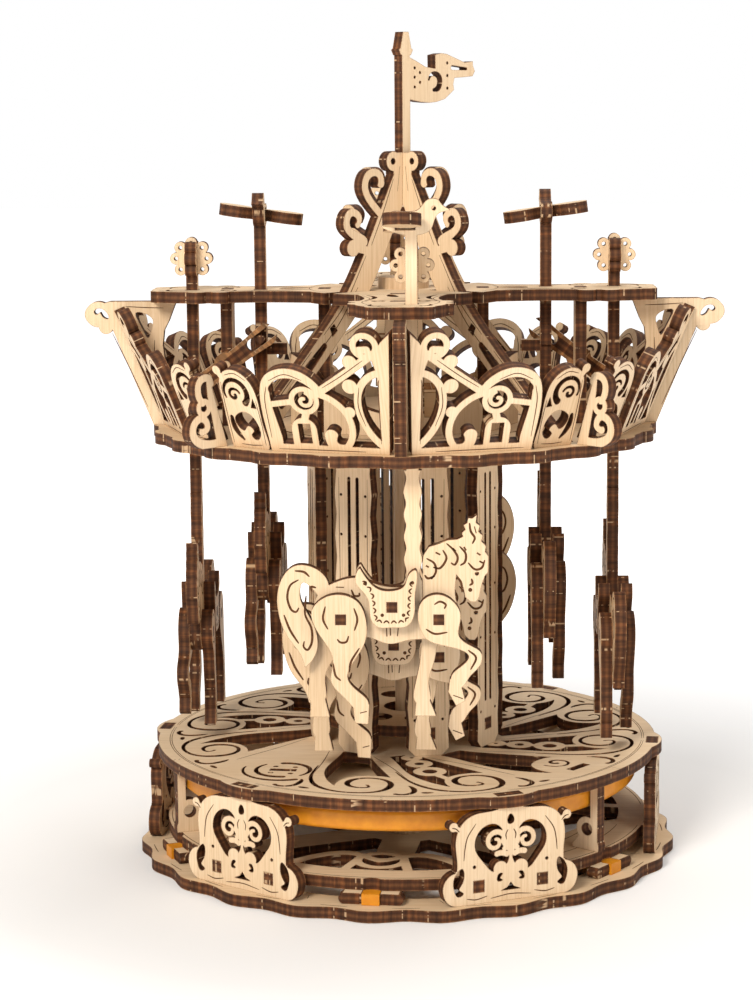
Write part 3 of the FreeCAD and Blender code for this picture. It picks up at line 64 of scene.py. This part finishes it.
# ------------------------------------------------------------------ shader helpers
class Shader:
    """A material's node tree, built one node at a time."""

    def __init__(self, name):
        self.material = bpy.data.materials.new(name)
        self.material.use_nodes = True
        self.tree = self.material.node_tree
        self.main = self.tree.nodes["Principled BSDF"]

    def node(self, kind, links=(), **values):
        made = self.tree.nodes.new(kind)
        for key, value in values.items():
            if key in made.inputs:
                made.inputs[key].default_value = value
            else:
                setattr(made, key, value)
        for socket, source in dict(links).items():
            self.tree.links.new(source, made.inputs[socket])
        return made

    def math(self, operation, first, second=0.5):
        made = self.tree.nodes.new("ShaderNodeMath")
        made.operation = operation
        for index, value in enumerate((first, second)):
            if isinstance(value, (int, float)):
                made.inputs[index].default_value = value
            else:
                self.tree.links.new(value, made.inputs[index])
        return made.outputs[0]

    def ramp(self, source, stops, smooth=True):
        made = self.tree.nodes.new("ShaderNodeValToRGB")
        band = made.color_ramp
        band.interpolation = "LINEAR" if smooth else "CONSTANT"
        while len(band.elements) < len(stops):
            band.elements.new(0.5)
        for element, (place, colour) in zip(band.elements, stops):
            element.position = place
            element.color = (*colour, 1.0)
        self.tree.links.new(source, made.inputs[0])
        return made.outputs[0]

    def mix(self, share, first, second, blend="MIX"):
        made = self.tree.nodes.new("ShaderNodeMix")
        made.data_type = "RGBA"
        made.blend_type = blend
        for index, value in ((0, share), (6, first), (7, second)):
            if isinstance(value, (int, float)):
                made.inputs[index].default_value = value
            elif isinstance(value, tuple):
                made.inputs[index].default_value = (*value, 1.0)
            else:
                self.tree.links.new(value, made.inputs[index])
        return made.outputs[2]

    def attribute(self, name):
        return self.node("ShaderNodeAttribute", attribute_name=name)

    def stretched(self, source, scale):
        mapping = self.node("ShaderNodeMapping", {"Vector": source})
        mapping.inputs["Scale"].default_value = scale
        return mapping.outputs[0]

    def noise(self, source, scale, detail=3.0, roughness=0.55):
        made = self.node("ShaderNodeTexNoise", {"Vector": source}, Scale=scale, Detail=detail,
                         Roughness=roughness)
        return made.outputs["Fac"]

    def bump(self, height, strength, distance):
        made = self.node("ShaderNodeBump", {"Height": height}, Strength=strength,
                         Distance=distance)
        self.tree.links.new(made.outputs[0], self.main.inputs["Normal"])

    def paint(self, colour):
        self.tree.links.new(colour, self.main.inputs["Base Color"])

    def rough(self, value):
        self.tree.links.new(value, self.main.inputs["Roughness"])


def birch():
    """Bare birch face: pale, with fine grain, faint flecks and scorched rims."""
    s = Shader("birch_face")
    plate = s.attribute("plate").outputs["Vector"]
    tone = s.attribute("tone").outputs["Fac"]
    fibre = s.noise(s.stretched(plate, (0.05, 1.6, 0.0)), 1.0, 5.0)
    cloud = s.noise(s.stretched(plate, (0.02, 0.06, 0.0)), 1.0, 2.0)
    fleck = s.noise(s.stretched(plate, (0.35, 3.2, 0.0)), 1.0, 1.0)
    colour = s.ramp(fibre, [(0.26, (0.62, 0.445, 0.275)), (0.48, (0.735, 0.555, 0.365)),
                            (0.76, (0.80, 0.635, 0.44))])
    warm = s.ramp(cloud, [(0.30, (0.93, 0.89, 0.83)), (0.70, (1.0, 1.0, 1.0))])
    colour = s.mix(1.0, colour, warm, "MULTIPLY")
    specks = s.ramp(fleck, [(0.66, (1.0, 1.0, 1.0)), (0.76, (0.86, 0.78, 0.68))])
    colour = s.mix(0.55, colour, specks, "MULTIPLY")
    plain = s.ramp(tone, [(0.0, (0.91, 0.88, 0.84)), (1.0, (1.0, 1.0, 1.0))])
    colour = s.mix(1.0, colour, plain, "MULTIPLY")
    bevel = s.node("ShaderNodeBevel", samples=4, Radius=0.00042)
    true = s.node("ShaderNodeNewGeometry")
    dot = s.node("ShaderNodeVectorMath", operation="DOT_PRODUCT")
    s.tree.links.new(bevel.outputs[0], dot.inputs[0])
    s.tree.links.new(true.outputs["True Normal"], dot.inputs[1])
    scorch = s.ramp(dot.outputs["Value"], [(0.72, (1.0, 1.0, 1.0)), (0.97, (0.35, 0.35, 0.35)),
                                           (0.999, (0.0, 0.0, 0.0))])
    colour = s.mix(scorch, colour, (0.20, 0.085, 0.035))
    s.paint(colour)
    s.rough(s.ramp(fibre, [(0.3, (0.62, 0.62, 0.62)), (0.8, (0.50, 0.50, 0.50))]))
    s.main.inputs["Specular IOR Level"].default_value = 0.35
    s.bump(fibre, 0.12, 0.0001)
    return s.material


def burnt_edge():
    """Laser-burnt edge of three-ply birch: dark plies, paler glue lines and small nicks."""
    s = Shader("burnt_edge")
    plate = s.attribute("plate").outputs["Vector"]
    split = s.node("ShaderNodeSeparateXYZ", {"Vector": plate})
    wander = s.noise(s.stretched(plate, (0.5, 0.5, 0.2)), 1.0, 2.0)
    depth = s.math("ADD", split.outputs["Z"], s.math("MULTIPLY", s.math("SUBTRACT", wander, 0.5), 0.5))
    share = s.math("MULTIPLY_ADD", depth, 0.25)
    share.node.inputs[2].default_value = 0.5
    plies = s.ramp(share, [
        (0.00, (0.24, 0.125, 0.055)), (0.06, (0.080, 0.029, 0.010)), (0.26, (0.050, 0.017, 0.006)),
        (0.36, (0.085, 0.033, 0.012)), (0.50, (0.125, 0.050, 0.018)), (0.64, (0.080, 0.030, 0.011)),
        (0.74, (0.050, 0.017, 0.006)), (0.94, (0.080, 0.029, 0.010)), (1.00, (0.24, 0.125, 0.055))])
    streak = s.noise(s.stretched(plate, (0.6, 0.6, 0.05)), 1.0, 5.0)
    shade = s.ramp(streak, [(0.32, (0.50, 0.47, 0.43)), (0.52, (1.0, 0.95, 0.9)),
                            (0.72, (2.0, 1.8, 1.55))])
    colour = s.mix(1.0, plies, shade, "MULTIPLY")
    cells = s.node("ShaderNodeTexVoronoi", {"Vector": s.stretched(plate, (0.055, 0.055, 0.0))},
                   feature="DISTANCE_TO_EDGE", Scale=1.0)
    nick = s.ramp(cells.outputs["Distance"], [(0.0045, (1.0, 1.0, 1.0)), (0.0095, (0.0, 0.0, 0.0))])
    patch = s.noise(s.stretched(plate, (0.15, 0.15, 0.7)), 1.0, 1.0)
    nick = s.mix(1.0, nick, s.ramp(patch, [(0.48, (0.0, 0.0, 0.0)), (0.54, (1.0, 1.0, 1.0))]),
                 "MULTIPLY")
    s.paint(s.mix(nick, colour, (0.46, 0.30, 0.17)))
    s.main.inputs["Roughness"].default_value = 0.72
    s.main.inputs["Specular IOR Level"].default_value = 0.25
    s.bump(streak, 0.35, 0.0002)
    return s.material


def engraving():
    s = Shader("engraved_line")
    place = s.node("ShaderNodeTexCoord").outputs["Object"]
    char = s.noise(place, 900.0, 2.0)
    s.paint(s.ramp(char, [(0.3, (0.060, 0.024, 0.010)), (0.7, (0.130, 0.055, 0.024))]))
    s.main.inputs["Roughness"].default_value = 0.85
    s.main.inputs["Specular IOR Level"].default_value = 0.15
    return s.material


def rubber():
    s = Shader("orange_rubber")
    place = s.node("ShaderNodeTexCoord").outputs["Object"]
    mottle = s.noise(place, 260.0, 3.0)
    s.paint(s.ramp(mottle, [(0.3, (0.58, 0.20, 0.004)), (0.7, (0.70, 0.27, 0.007))]))
    s.main.inputs["Roughness"].default_value = 0.48
    s.main.inputs["Subsurface Weight"].default_value = 0.12
    s.main.inputs["Subsurface Radius"].default_value = (0.0012, 0.0006, 0.0002)
    s.bump(s.noise(place, 1400.0, 2.0), 0.15, 0.0001)
    return s.material


def dowel_wood():
    s = Shader("turned_wood")
    place = s.node("ShaderNodeTexCoord").outputs["Object"]
    fibre = s.noise(s.stretched(place, (900.0, 900.0, 60.0)), 1.0, 4.0)
    s.paint(s.ramp(fibre, [(0.3, (0.46, 0.29, 0.15)), (0.7, (0.66, 0.47, 0.29))]))
    s.main.inputs["Roughness"].default_value = 0.55
    s.bump(fibre, 0.12, 0.0001)
    return s.material


FACE = birch()
EDGE = burnt_edge()
LINE = engraving()
RUBBER = rubber()
DOWEL = dowel_wood()


# ------------------------------------------------------------------ plates
def shells(triangles, count):
    """Label of the connected shell of each triangle."""
    label = np.arange(count)
    while True:
        lowest = label[triangles].min(axis=1)
        before = label.copy()
        np.minimum.at(label, triangles.ravel(), np.repeat(lowest, 3))
        label = label[label]
        if np.array_equal(before, label):
            return label[triangles[:, 0]]


def dress_plates(piece):
    """Gives each plate of a node its face and edge materials and its own grain space."""
    mesh = piece.data
    points = np.empty(len(mesh.vertices) * 3, np.float32)
    mesh.vertices.foreach_get("co", points)
    points = points.reshape(-1, 3).astype(float)
    corners = np.empty(len(mesh.loops), np.int32)
    mesh.loops.foreach_get("vertex_index", corners)
    triangles = corners.reshape(-1, 3)
    unique, welded = np.unique(np.round(points * 1e6).astype(np.int64), axis=0,
                               return_inverse=True)
    owner = shells(welded.ravel()[triangles], len(unique))
    a, b, c = (points[triangles[:, index]] for index in range(3))
    cross = np.cross(b - a, c - a)
    area = np.linalg.norm(cross, axis=1)
    normal = cross / np.maximum(area, 1e-15)[:, None]
    space = np.zeros((len(points), 3), np.float32)
    tone = np.zeros(len(points), np.float32)
    kind = np.ones(len(triangles), np.int32)
    for shell in np.unique(owner):
        mine = owner == shell
        spread = (normal[mine] * area[mine, None]).T @ normal[mine]
        axis = np.linalg.eigh(spread)[1][:, -1]
        flat = np.abs(normal @ axis) > 0.985
        share = area[mine & flat].sum() / max(area[mine].sum(), 1e-15)
        kind[mine & flat] = 0
        if share < 0.2:
            kind[mine] = 2
        used = np.unique(triangles[mine])
        along = np.array([0.0, 0.0, 1.0]) if abs(axis[2]) < 0.7 else np.array([1.0, 0.0, 0.0])
        along = along - axis * (along @ axis)
        along /= np.linalg.norm(along)
        across = np.cross(axis, along)
        local = points[used]
        deep = local @ axis
        middle = (deep.min() + deep.max()) / 2
        origin = local.mean(axis=0)
        offset = float(np.round(origin * 1e3).sum()) * 37.0
        space[used, 0] = local @ along / MM + offset
        space[used, 1] = local @ across / MM
        space[used, 2] = (deep - middle) / MM
        tone[used] = abs(math.sin(offset * 12.9898)) % 1.0
    made = mesh.attributes.new("plate", "FLOAT_VECTOR", "POINT")
    made.data.foreach_set("vector", space.ravel())
    made = mesh.attributes.new("tone", "FLOAT", "POINT")
    made.data.foreach_set("value", tone)
    mesh.materials.clear()
    for material in (FACE, EDGE, DOWEL):
        mesh.materials.append(material)
    mesh.polygons.foreach_set("material_index", kind)
    mesh.update()


PLAIN = {"rubber_bands": RUBBER, "drive_belt": RUBBER, "main_axle": DOWEL, "rocker_pins": DOWEL,
         "lower_bush": DOWEL, "upper_bush": DOWEL, "thrust_washer": DOWEL, "axle_collar": DOWEL}
for name, piece in frame["nodes"].items():
    if name in PLAIN:
        piece.data.materials.clear()
        piece.data.materials.append(PLAIN[name])
    else:
        dress_plates(piece)


# ------------------------------------------------------------------ engraved lines
PLY = 4.0
LIFT = 0.03
engraved = {}


def flowing(points, steps=5):
    """A smooth line through the points."""
    if len(points) < 3:
        return [tuple(map(float, point)) for point in points]
    ends = [2 * np.array(points[0]) - points[1], *map(np.array, points),
            2 * np.array(points[-1]) - points[-2]]
    line = []
    for p0, p1, p2, p3 in zip(ends, ends[1:], ends[2:], ends[3:]):
        for step in range(steps):
            t = step / steps
            line.append(tuple(0.5 * (2 * p1 + (p2 - p0) * t + (2 * p0 - 5 * p1 + 4 * p2 - p3) * t * t
                                     + (3 * p1 - p0 - 3 * p2 + p3) * t ** 3)))
    line.append(tuple(map(float, points[-1])))
    return line


def engrave(body, place, points, width=0.42, sharp=False):
    """A thin dark line on a plate's face, tapered at its ends."""
    line = [np.array(point, float) for point in (points if sharp else flowing(points))]
    verts, faces = engraved.setdefault(body, ([], []))
    start = len(verts)
    for index, point in enumerate(line):
        along = line[min(index + 1, len(line) - 1)] - line[max(index - 1, 0)]
        along /= max(np.linalg.norm(along), 1e-9)
        share = index / (len(line) - 1)
        half = width / 2 * (0.45 + 0.55 * math.sin(math.pi * min(max(share, 0.0), 1.0)) ** 0.5)
        across = np.array([-along[1], along[0]]) * half
        verts.append(place(*(point + across)))
        verts.append(place(*(point - across)))
    for index in range(len(line) - 1):
        a = start + 2 * index
        faces.append((a, a + 1, a + 3, a + 2))


def prick(body, place, centre, radius=0.45):
    """A burnt dot on a plate's face."""
    verts, faces = engraved.setdefault(body, ([], []))
    start = len(verts)
    for index in range(10):
        angle = math.tau * index / 10
        verts.append(place(centre[0] + radius * math.cos(angle), centre[1] + radius * math.sin(angle)))
    faces.append(tuple(range(start, start + 10)))


def facing(azimuth, radius, level, lean=0.0, side=1, flip=1, slide=0.0):
    """Surface square to the radius: across and up, on the side that faces out or in."""
    a, t = math.radians(azimuth), math.radians(lean)
    across = np.array([math.cos(a), math.sin(a), 0.0])
    out = np.array([math.sin(a), -math.cos(a), 0.0])
    up = out * math.sin(t) + np.array([0.0, 0.0, math.cos(t)])
    normal = out * math.cos(t) - np.array([0.0, 0.0, math.sin(t)])
    base = out * radius + np.array([0.0, 0.0, level])
    base = base + normal * (PLY + LIFT if side > 0 else -LIFT)

    def place(u, w):
        return tuple((base + across * (flip * u + slide) + up * w) * MM)

    return place


def radial(azimuth, side):
    """Surface in the plane of the radius: outwards and up, on either side."""
    a = math.radians(azimuth)
    out = np.array([math.sin(a), -math.cos(a), 0.0])
    across = np.array([math.cos(a), math.sin(a), 0.0]) * side * (PLY / 2 + LIFT)

    def place(r, z):
        return tuple((out * r + across + np.array([0.0, 0.0, z])) * MM)

    return place


def lying(level, azimuth=0.0):
    """Upper surface of a flat plate, drawn about an azimuth."""
    a = math.radians(azimuth)

    def place(x, y):
        return tuple(np.array([x * math.cos(a) - y * math.sin(a), x * math.sin(a) + y * math.cos(a),
                               level + LIFT]) * MM)

    return place


def at(radius, azimuth):
    a = math.radians(azimuth)
    return (radius * math.sin(a), -radius * math.cos(a))


def arc(radius, first, last, count=24):
    return [at(radius, first + (last - first) * index / count) for index in range(count + 1)]


HORSE_LINES = [
    [(-34.2, 8.6), (-37, 6.7), (-38, 2.7), (-36.9, -1.2), (-35.2, -2.2), (-34.2, -0.8)],
    [(-32.0, 2.6), (-32.2, -3.0), (-30.2, -7.6), (-30.0, -12.1), (-31.4, -15.0), (-32.8, -14.0),
     (-32.6, -12.1)],
    [(-39.2, -3.2), (-37.2, -8.4), (-34.4, -12.9)],
    [(-28.4, 5.9), (-30.1, 6.2), (-29.8, 4.6)],
    [(-35.4, 11.6), (-32.4, 11.2), (-30.6, 9.6)],
    [(14.6, 20.6), (16.9, 18.4), (18.3, 15.8), (17.4, 13.5), (16.0, 14.1)],
    [(18.9, 19.6), (20.9, 17.2), (20.7, 14.4), (19.1, 13.2)],
    [(13.4, 18.4), (14.6, 15.6), (12.6, 12.4), (10.2, 12.6)],
    [(8.0, 15.6), (10.6, 13.9), (11.1, 11.1), (9.6, 8.6)],
    [(21.7, 14.1), (23.9, 11.9), (26.2, 12.4), (27.2, 15.0)],
    [(22.2, 27.4), (22.6, 24.6), (23.9, 22.4), (23.1, 20.4)],
    [(23.8, 26.2), (24.4, 23.9)],
    [(22.8, 8.8), (23.1, 7.3), (22.1, 6.5)],
    [(18.0, 9.4), (19.4, 7.4), (19.7, 4.2)],
    [(7.4, 10.0), (8.5, 8.9), (10.8, 9.7)],
    [(-5.3, -7.2), (-5.2, -10.6)], [(-4.1, -7.2), (-4.0, -10.3)], [(-1.4, -7.4), (-1.7, -10.5)],
    [(-21.9, 6.1), (-19.2, 6.0)],
    [(-16.8, 5.2), (-15.9, 3.2), (-14.3, 3.2), (-14.2, 4.2)],
]
HORSE_SLITS = [((11.0, 17.6), (12.6, 16.8)), ((16.6, 19.0), (17.7, 17.9)), ((20.3, 19.4), (21.1, 18.2)),
               ((7.8, 13.2), (8.8, 12.6)), ((24.6, 17.4), (25.8, 16.6)), ((25.4, 14.6), (26.6, 14.0)),
               ((23.9, 10.5), (25.3, 10.7))]
NEAR_LEG_LINES = [
    [(-25.3, 0.4), (-26.1, -3.8), (-24.5, -7.3)], [(-15.9, -0.2), (-14.8, -4.0), (-15.8, -7.8)],
    [(-17.7, -9.5), (-18.5, -11.5), (-20.4, -11.7), (-21.5, -10.6)],
    [(10.5, 0.9), (12.4, 1.9), (14.3, 0.9), (13.8, -0.5)], [(7.7, -7.3), (10.7, -8.9), (14.8, -8.4)],
    [(-14.2, -13.6), (-17.0, -18.2), (-17.6, -21.8)], [(-22.9, -18.8), (-22.2, -22.8), (-20.4, -24.6)],
    [(21.6, -14.4), (24.2, -17.0), (22.4, -21.0)], [(-14.2, -35.6), (-11.9, -35.0)],
    [(16.6, -29.6), (19.8, -30.8)],
]
FAR_LEG_LINES = [
    [(-24.6, 0.4), (-25.4, -3.4), (-24.4, -7.0)], [(-16.4, 0.0), (-15.4, -3.4), (-16.6, -7.6)],
    [(10.5, 1.1), (12.4, 2.0), (14.1, 1.0)], [(8.6, -7.2), (11.2, -8.4), (14.6, -7.4)],
    [(-30.6, -34.4), (-26.2, -34.6)], [(4.6, -34.8), (9.2, -34.8)],
]
SADDLE_EDGE = [(-13.2, 9.0), (-10.4, 4.6), (-9.3, -2.8), (-8.2, -4.9), (-3.4, -5.4), (0.9, -4.9),
               (2.4, -2.6), (2.9, 3.2), (3.6, 9.0)]


def scallops(path, pitch=2.3, depth=0.8):
    """Short arcs side by side along a path, as a row of stitches."""
    line = [np.array(point) for point in flowing(path, 10)]
    steps = [np.linalg.norm(b - a) for a, b in zip(line, line[1:])]
    whole = sum(steps)
    count = int(whole / pitch)
    travelled = np.concatenate([[0.0], np.cumsum(steps)])
    grid = np.array(line)
    arcs = []
    for index in range(count):
        bow = []
        for part in range(5):
            share = (index + 0.12 + 0.76 * part / 4) / count * whole
            x = np.interp(share, travelled, grid[:, 0])
            y = np.interp(share, travelled, grid[:, 1])
            ahead = np.array([np.interp(share + 0.1, travelled, grid[:, 0]) - x,
                              np.interp(share + 0.1, travelled, grid[:, 1]) - y])
            ahead /= max(np.linalg.norm(ahead), 1e-9)
            inward = np.array([-ahead[1], ahead[0]]) * depth * math.sin(math.pi * part / 4)
            bow.append((x + inward[0], y + inward[1]))
        arcs.append(bow)
    return arcs


STITCHES = scallops(SADDLE_EDGE)
for arm, azimuth in ARMS.items():
    for circle, radius in (("outer", 74.6), ("inner", 50.4)):
        high = (arm in ("front", "back")) == (circle == "outer")
        level = 102.7 if high else 84.7
        body = f"{arm}_{circle}_horse"
        for side in (1, -1):
            skin = facing(azimuth, radius - PLY / 2, level, side=side)
            for line in HORSE_LINES:
                engrave(body, skin, line, 0.8)
            for first, last in HORSE_SLITS:
                engrave(body, skin, [first, last], 1.3, sharp=True)
            prick(body, skin, (22.4, 5.0), 0.7)
            tack = facing(azimuth, radius - PLY / 2 + side * PLY, level, side=side)
            for line in (NEAR_LEG_LINES if side > 0 else FAR_LEG_LINES):
                engrave(body, tack, line, 0.75)
            for line in STITCHES:
                engrave(body, tack, line, 0.6)
            for spot in ((-6.6, -2.6), (0.4, -2.6), (-12.2, 8.0), (3.4, 8.2)):
                prick(body, tack, spot, 0.62)

for index in range(6):
    azimuth = 23.0 + 60.0 * index
    for flip in (1, -1):
        for side in (1, -1):
            skin = facing(azimuth, 87.0, PLY, side=side, flip=flip)
            engrave("base", skin, [(17.0, 15.4), (16.6, 19.4), (15.6, 23.4), (12.6, 27.6)], 0.4)
            engrave("base", skin, [(8.6, 2.4), (12.6, 1.6), (16.0, 2.2)], 0.4)
            engrave("base", skin, [(1.0, 24.4), (1.8, 22.8), (1.6, 21.0)], 0.4)
            engrave("base", skin, [(18.6, 25.4), (19.8, 26.6), (21.2, 27.0)], 0.4)
    skin = facing(azimuth + 0.0, 87.0, PLY)
    engrave("base", skin, [(-7.4, 1.4), (0, 2.2), (7.4, 1.4)], 0.35)

deck_top = lying(40.0)
for radius in (85.2, 85.9):
    for first in range(0, 360, 60):
        engrave("base", deck_top, arc(radius, first + 23 + 1, first + 23 + 59), 0.26)
for index in range(12):
    about = lying(40.0, -9.0 + 30.0 * index)
    engrave("base", about, [at(36, -9.0), at(50, 4.2), at(62, 9.2), at(70, 11.6)], 0.34)
    for radius in (87.0, 88.8):
        engrave("base", about, [at(radius, 4.0), at(radius + 1.0, 4.6)], 0.5, sharp=True)
base_top = lying(PLY)
for index in range(24):
    azimuth = -7.0 + 15.0 * index
    engrave("base", base_top, arc(92.9, azimuth + 4.6, azimuth + 10.4, 8), 0.34)
    if index % 2:
        engrave("base", base_top, [at(85.4, azimuth), at(88.6, azimuth + 0.6)], 0.45, sharp=True)
tray_top = lying(3 * PLY)
for index in range(6):
    first = 23.0 + 60.0 * index
    engrave("base", tray_top, arc(85.6, first + 9, first + 51), 0.34)
for index in range(3):
    about = lying(3 * PLY, 53.0 + 120.0 * index)
    engrave("base", about, arc(69.0, -12, 12, 12), 0.34)
    engrave("base", about, arc(78.4, -20, 20, 12), 0.34)
    for flip in (-1, 1):
        engrave("base", about, [at(73, flip * 8), at(75.6, flip * 11), at(74, flip * 14),
                                at(71.6, flip * 12)], 0.4)

for index in range(8):
    skin = facing(14.0 + 45.0 * index, 30.2, 40.0)
    for flip in (-5.9, 5.9):
        engrave("base", skin, [(flip, 14), (flip * 0.96, 60), (flip, 98)], 0.24)

CROWN = 153.8
LEAN = 22.0
FOOT = CROWN + PLY * math.sin(math.radians(LEAN))
TALL_LINES = [
    [(15.0, 0.9), (2.0, 1.0), (-15.0, 1.0)], [(20.6, 4.0), (22.2, 24.0), (22.8, 27.6)],
    [(-17.0, 5.0), (-17.4, 18.0), (-16.2, 24.0)], [(-15.0, 26.2), (-9.4, 28.6), (-3.6, 26.6)],
    [(18.2, 34.4), (10.2, 28.6), (3.0, 24.0)], [(15.7, 24.6), (14.6, 17.6), (16.2, 10.4)],
]
NARROW_LINES = [
    [(-7.6, 1.6), (-6.9, 14.0), (-5.9, 24.4)], [(6.2, 1.6), (6.9, 10.0), (7.1, 18.0)],
    [(-3.6, 27.0), (1.0, 27.8), (5.2, 25.4)], [(-4.4, 1.4), (0.4, 1.2), (4.6, 1.5)],
]
WING_LINES = [
    [(83.6, 157), (86.2, 166), (88.6, 176), (88.6, 184)], [(91.4, 160), (98.6, 176), (103.6, 186.6)],
    [(85.2, 195.4), (91.6, 195.6), (98.6, 196.0)], [(95.6, 190.0), (98.4, 192.4), (101.6, 193.2)],
]
ROOF_LINES = [
    [(6.6, 240.2), (11.6, 229.0), (17.4, 217.6)], [(20.0, 214.2), (30.0, 198.2), (40.4, 187.8)],
    [(24.0, 203.4), (33.4, 191.0), (44.0, 180.8)], [(46.0, 182.6), (57.6, 171.6), (68.0, 161.4)],
    [(3.4, 244.6), (4.6, 236.0)],
]
for azimuth in ARMS.values():
    for flip in (1, -1):
        for side in (1, -1):
            skin = facing(azimuth - flip * 17.0, 79.0, FOOT, LEAN, side, flip, -1.4 * flip)
            for line in TALL_LINES:
                engrave("carousel", skin, line, 0.32)
            skin = facing(azimuth - flip * 36.5, 79.0, FOOT, LEAN, side, flip)
            for line in NARROW_LINES:
                engrave("carousel", skin, line, 0.32)
        wing = radial(azimuth, flip)
        for line in WING_LINES:
            engrave("carousel", wing, line, 0.32)
        leg = radial(azimuth + 45.0, flip)
        for line in ROOF_LINES:
            engrave("carousel", leg, line, 0.34)
cross_top = lying(CROWN + 44.1 + PLY)
engrave("carousel", cross_top, arc(33.4, 0, 360, 72), 0.3)
for azimuth in ARMS.values():
    about = lying(CROWN + 44.1 + PLY, azimuth)
    for flip in (-1, 1):
        engrave("carousel", about, [(flip * 13.6, -37), (flip * 10.6, -52), (flip * 12.8, -67),
                                    (flip * 9.6, -81)], 0.3)
        engrave("carousel", about, [(flip * 4.6, -86.4), (flip * 7.2, -84.2), (flip * 6.2, -80.6)], 0.36)

for body, (verts, faces) in engraved.items():
    mesh = bpy.data.meshes.new("engraving_" + body)
    mesh.from_pydata(verts, [], faces)
    mesh.materials.append(LINE)
    lines = bpy.data.objects.new("engraving_" + body, mesh)
    scene.collection.objects.link(lines)
    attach(lines, body)


# ------------------------------------------------------------------ stage
def camera():
    lens = bpy.data.cameras.new("camera")
    lens.lens = 89.533
    lens.clip_end = 20.0
    eye = bpy.data.objects.new("camera", lens)
    scene.collection.objects.link(eye)
    turn = Matrix.Rotation(0.0258, 3, "Z")
    pitch = 0.1558
    roll = 0.0085
    right = Vector((1.0, 0.0, 0.0))
    up = Vector((0.0, math.sin(pitch), math.cos(pitch)))
    ahead = Vector((0.0, math.cos(pitch), -math.sin(pitch)))
    rolled_right = turn @ (right * math.cos(roll) - up * math.sin(roll))
    rolled_up = turn @ (right * math.sin(roll) + up * math.cos(roll))
    back = turn @ -ahead
    basis = Matrix((rolled_right, rolled_up, back)).transposed().to_4x4()
    basis.translation = Vector((0.012527, -0.88204, 0.264374))
    eye.matrix_world = basis
    scene.camera = eye


def area_light(name, place, target, width, power, colour):
    data = bpy.data.lights.new(name, "AREA")
    data.shape = "SQUARE"
    data.size = width
    data.energy = power
    data.color = colour
    lamp = bpy.data.objects.new(name, data)
    scene.collection.objects.link(lamp)
    lamp.location = place
    lamp.rotation_mode = "QUATERNION"
    lamp.rotation_quaternion = (Vector(target) - Vector(place)).to_track_quat("-Z", "Y")


def floor():
    """White studio floor with a painted glow: its emission rises with distance from the object, so it
    brightens into the white surround.
    """
    s = Shader("studio_floor")
    place = s.node("ShaderNodeTexCoord").outputs["Object"]
    away = s.node("ShaderNodeVectorMath", {"Vector": place}, operation="LENGTH").outputs["Value"]
    mottle = s.noise(place, 3.0, 2.0)
    s.paint(s.ramp(mottle, [(0.3, (0.86, 0.85, 0.84)), (0.7, (0.88, 0.87, 0.865))]))
    # painted glow: the floor emits light from 0.16 m out, at full strength by 0.46 m, so it brightens
    # away from the object
    painted_glow = s.ramp(s.math("MULTIPLY", away, 1.0), [(0.16, (0.0, 0.0, 0.0)), (0.46, (1.0, 1.0, 1.0))])
    s.main.inputs["Emission Color"].default_value = (1.0, 1.0, 1.0, 1.0)
    s.tree.links.new(s.math("MULTIPLY", painted_glow, 0.75), s.main.inputs["Emission Strength"])
    s.main.inputs["Roughness"].default_value = 0.9
    s.main.inputs["Specular IOR Level"].default_value = 0.1
    mesh = bpy.data.meshes.new("studio_floor")
    reach = 6.0
    mesh.from_pydata([(-reach, -reach, 0), (reach, -reach, 0), (reach, reach, 0),
                      (-reach, reach, 0)], [], [(0, 1, 2, 3)])
    mesh.materials.append(s.material)
    ground = bpy.data.objects.new("studio_floor", mesh)
    ground.location.z = -0.0002
    scene.collection.objects.link(ground)
    ground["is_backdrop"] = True


def world():
    """White surround that lights the object at under half its own brightness."""
    sky = bpy.data.worlds.new("studio")
    sky.use_nodes = True
    nodes = sky.node_tree.nodes
    seen = nodes.new("ShaderNodeLightPath")
    level = nodes.new("ShaderNodeMapRange")
    level.inputs["To Min"].default_value = 0.42
    level.inputs["To Max"].default_value = 1.0
    sky.node_tree.links.new(seen.outputs["Is Camera Ray"], level.inputs["Value"])
    sky.node_tree.links.new(level.outputs[0], nodes["Background"].inputs[1])
    nodes["Background"].inputs[0].default_value = (1.0, 1.0, 1.0, 1.0)
    scene.world = sky


camera()
world()
floor()
area_light("key", (-0.45, -0.95, 0.80), (0.0, 0.0, 0.13), 0.40, 13.5, (1.0, 0.96, 0.90))
area_light("fill", (0.80, -0.75, 0.50), (0.0, 0.0, 0.13), 0.5, 2.6, (1.0, 0.97, 0.93))
area_light("top", (0.2, 0.35, 1.0), (0.0, 0.0, 0.1), 0.5, 4.6, (1.0, 0.98, 0.95))
scene.view_settings.view_transform = "Standard"
scene.view_settings.look = "None"

[[list(corner) for corner in box] for box in (cad_box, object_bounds())]
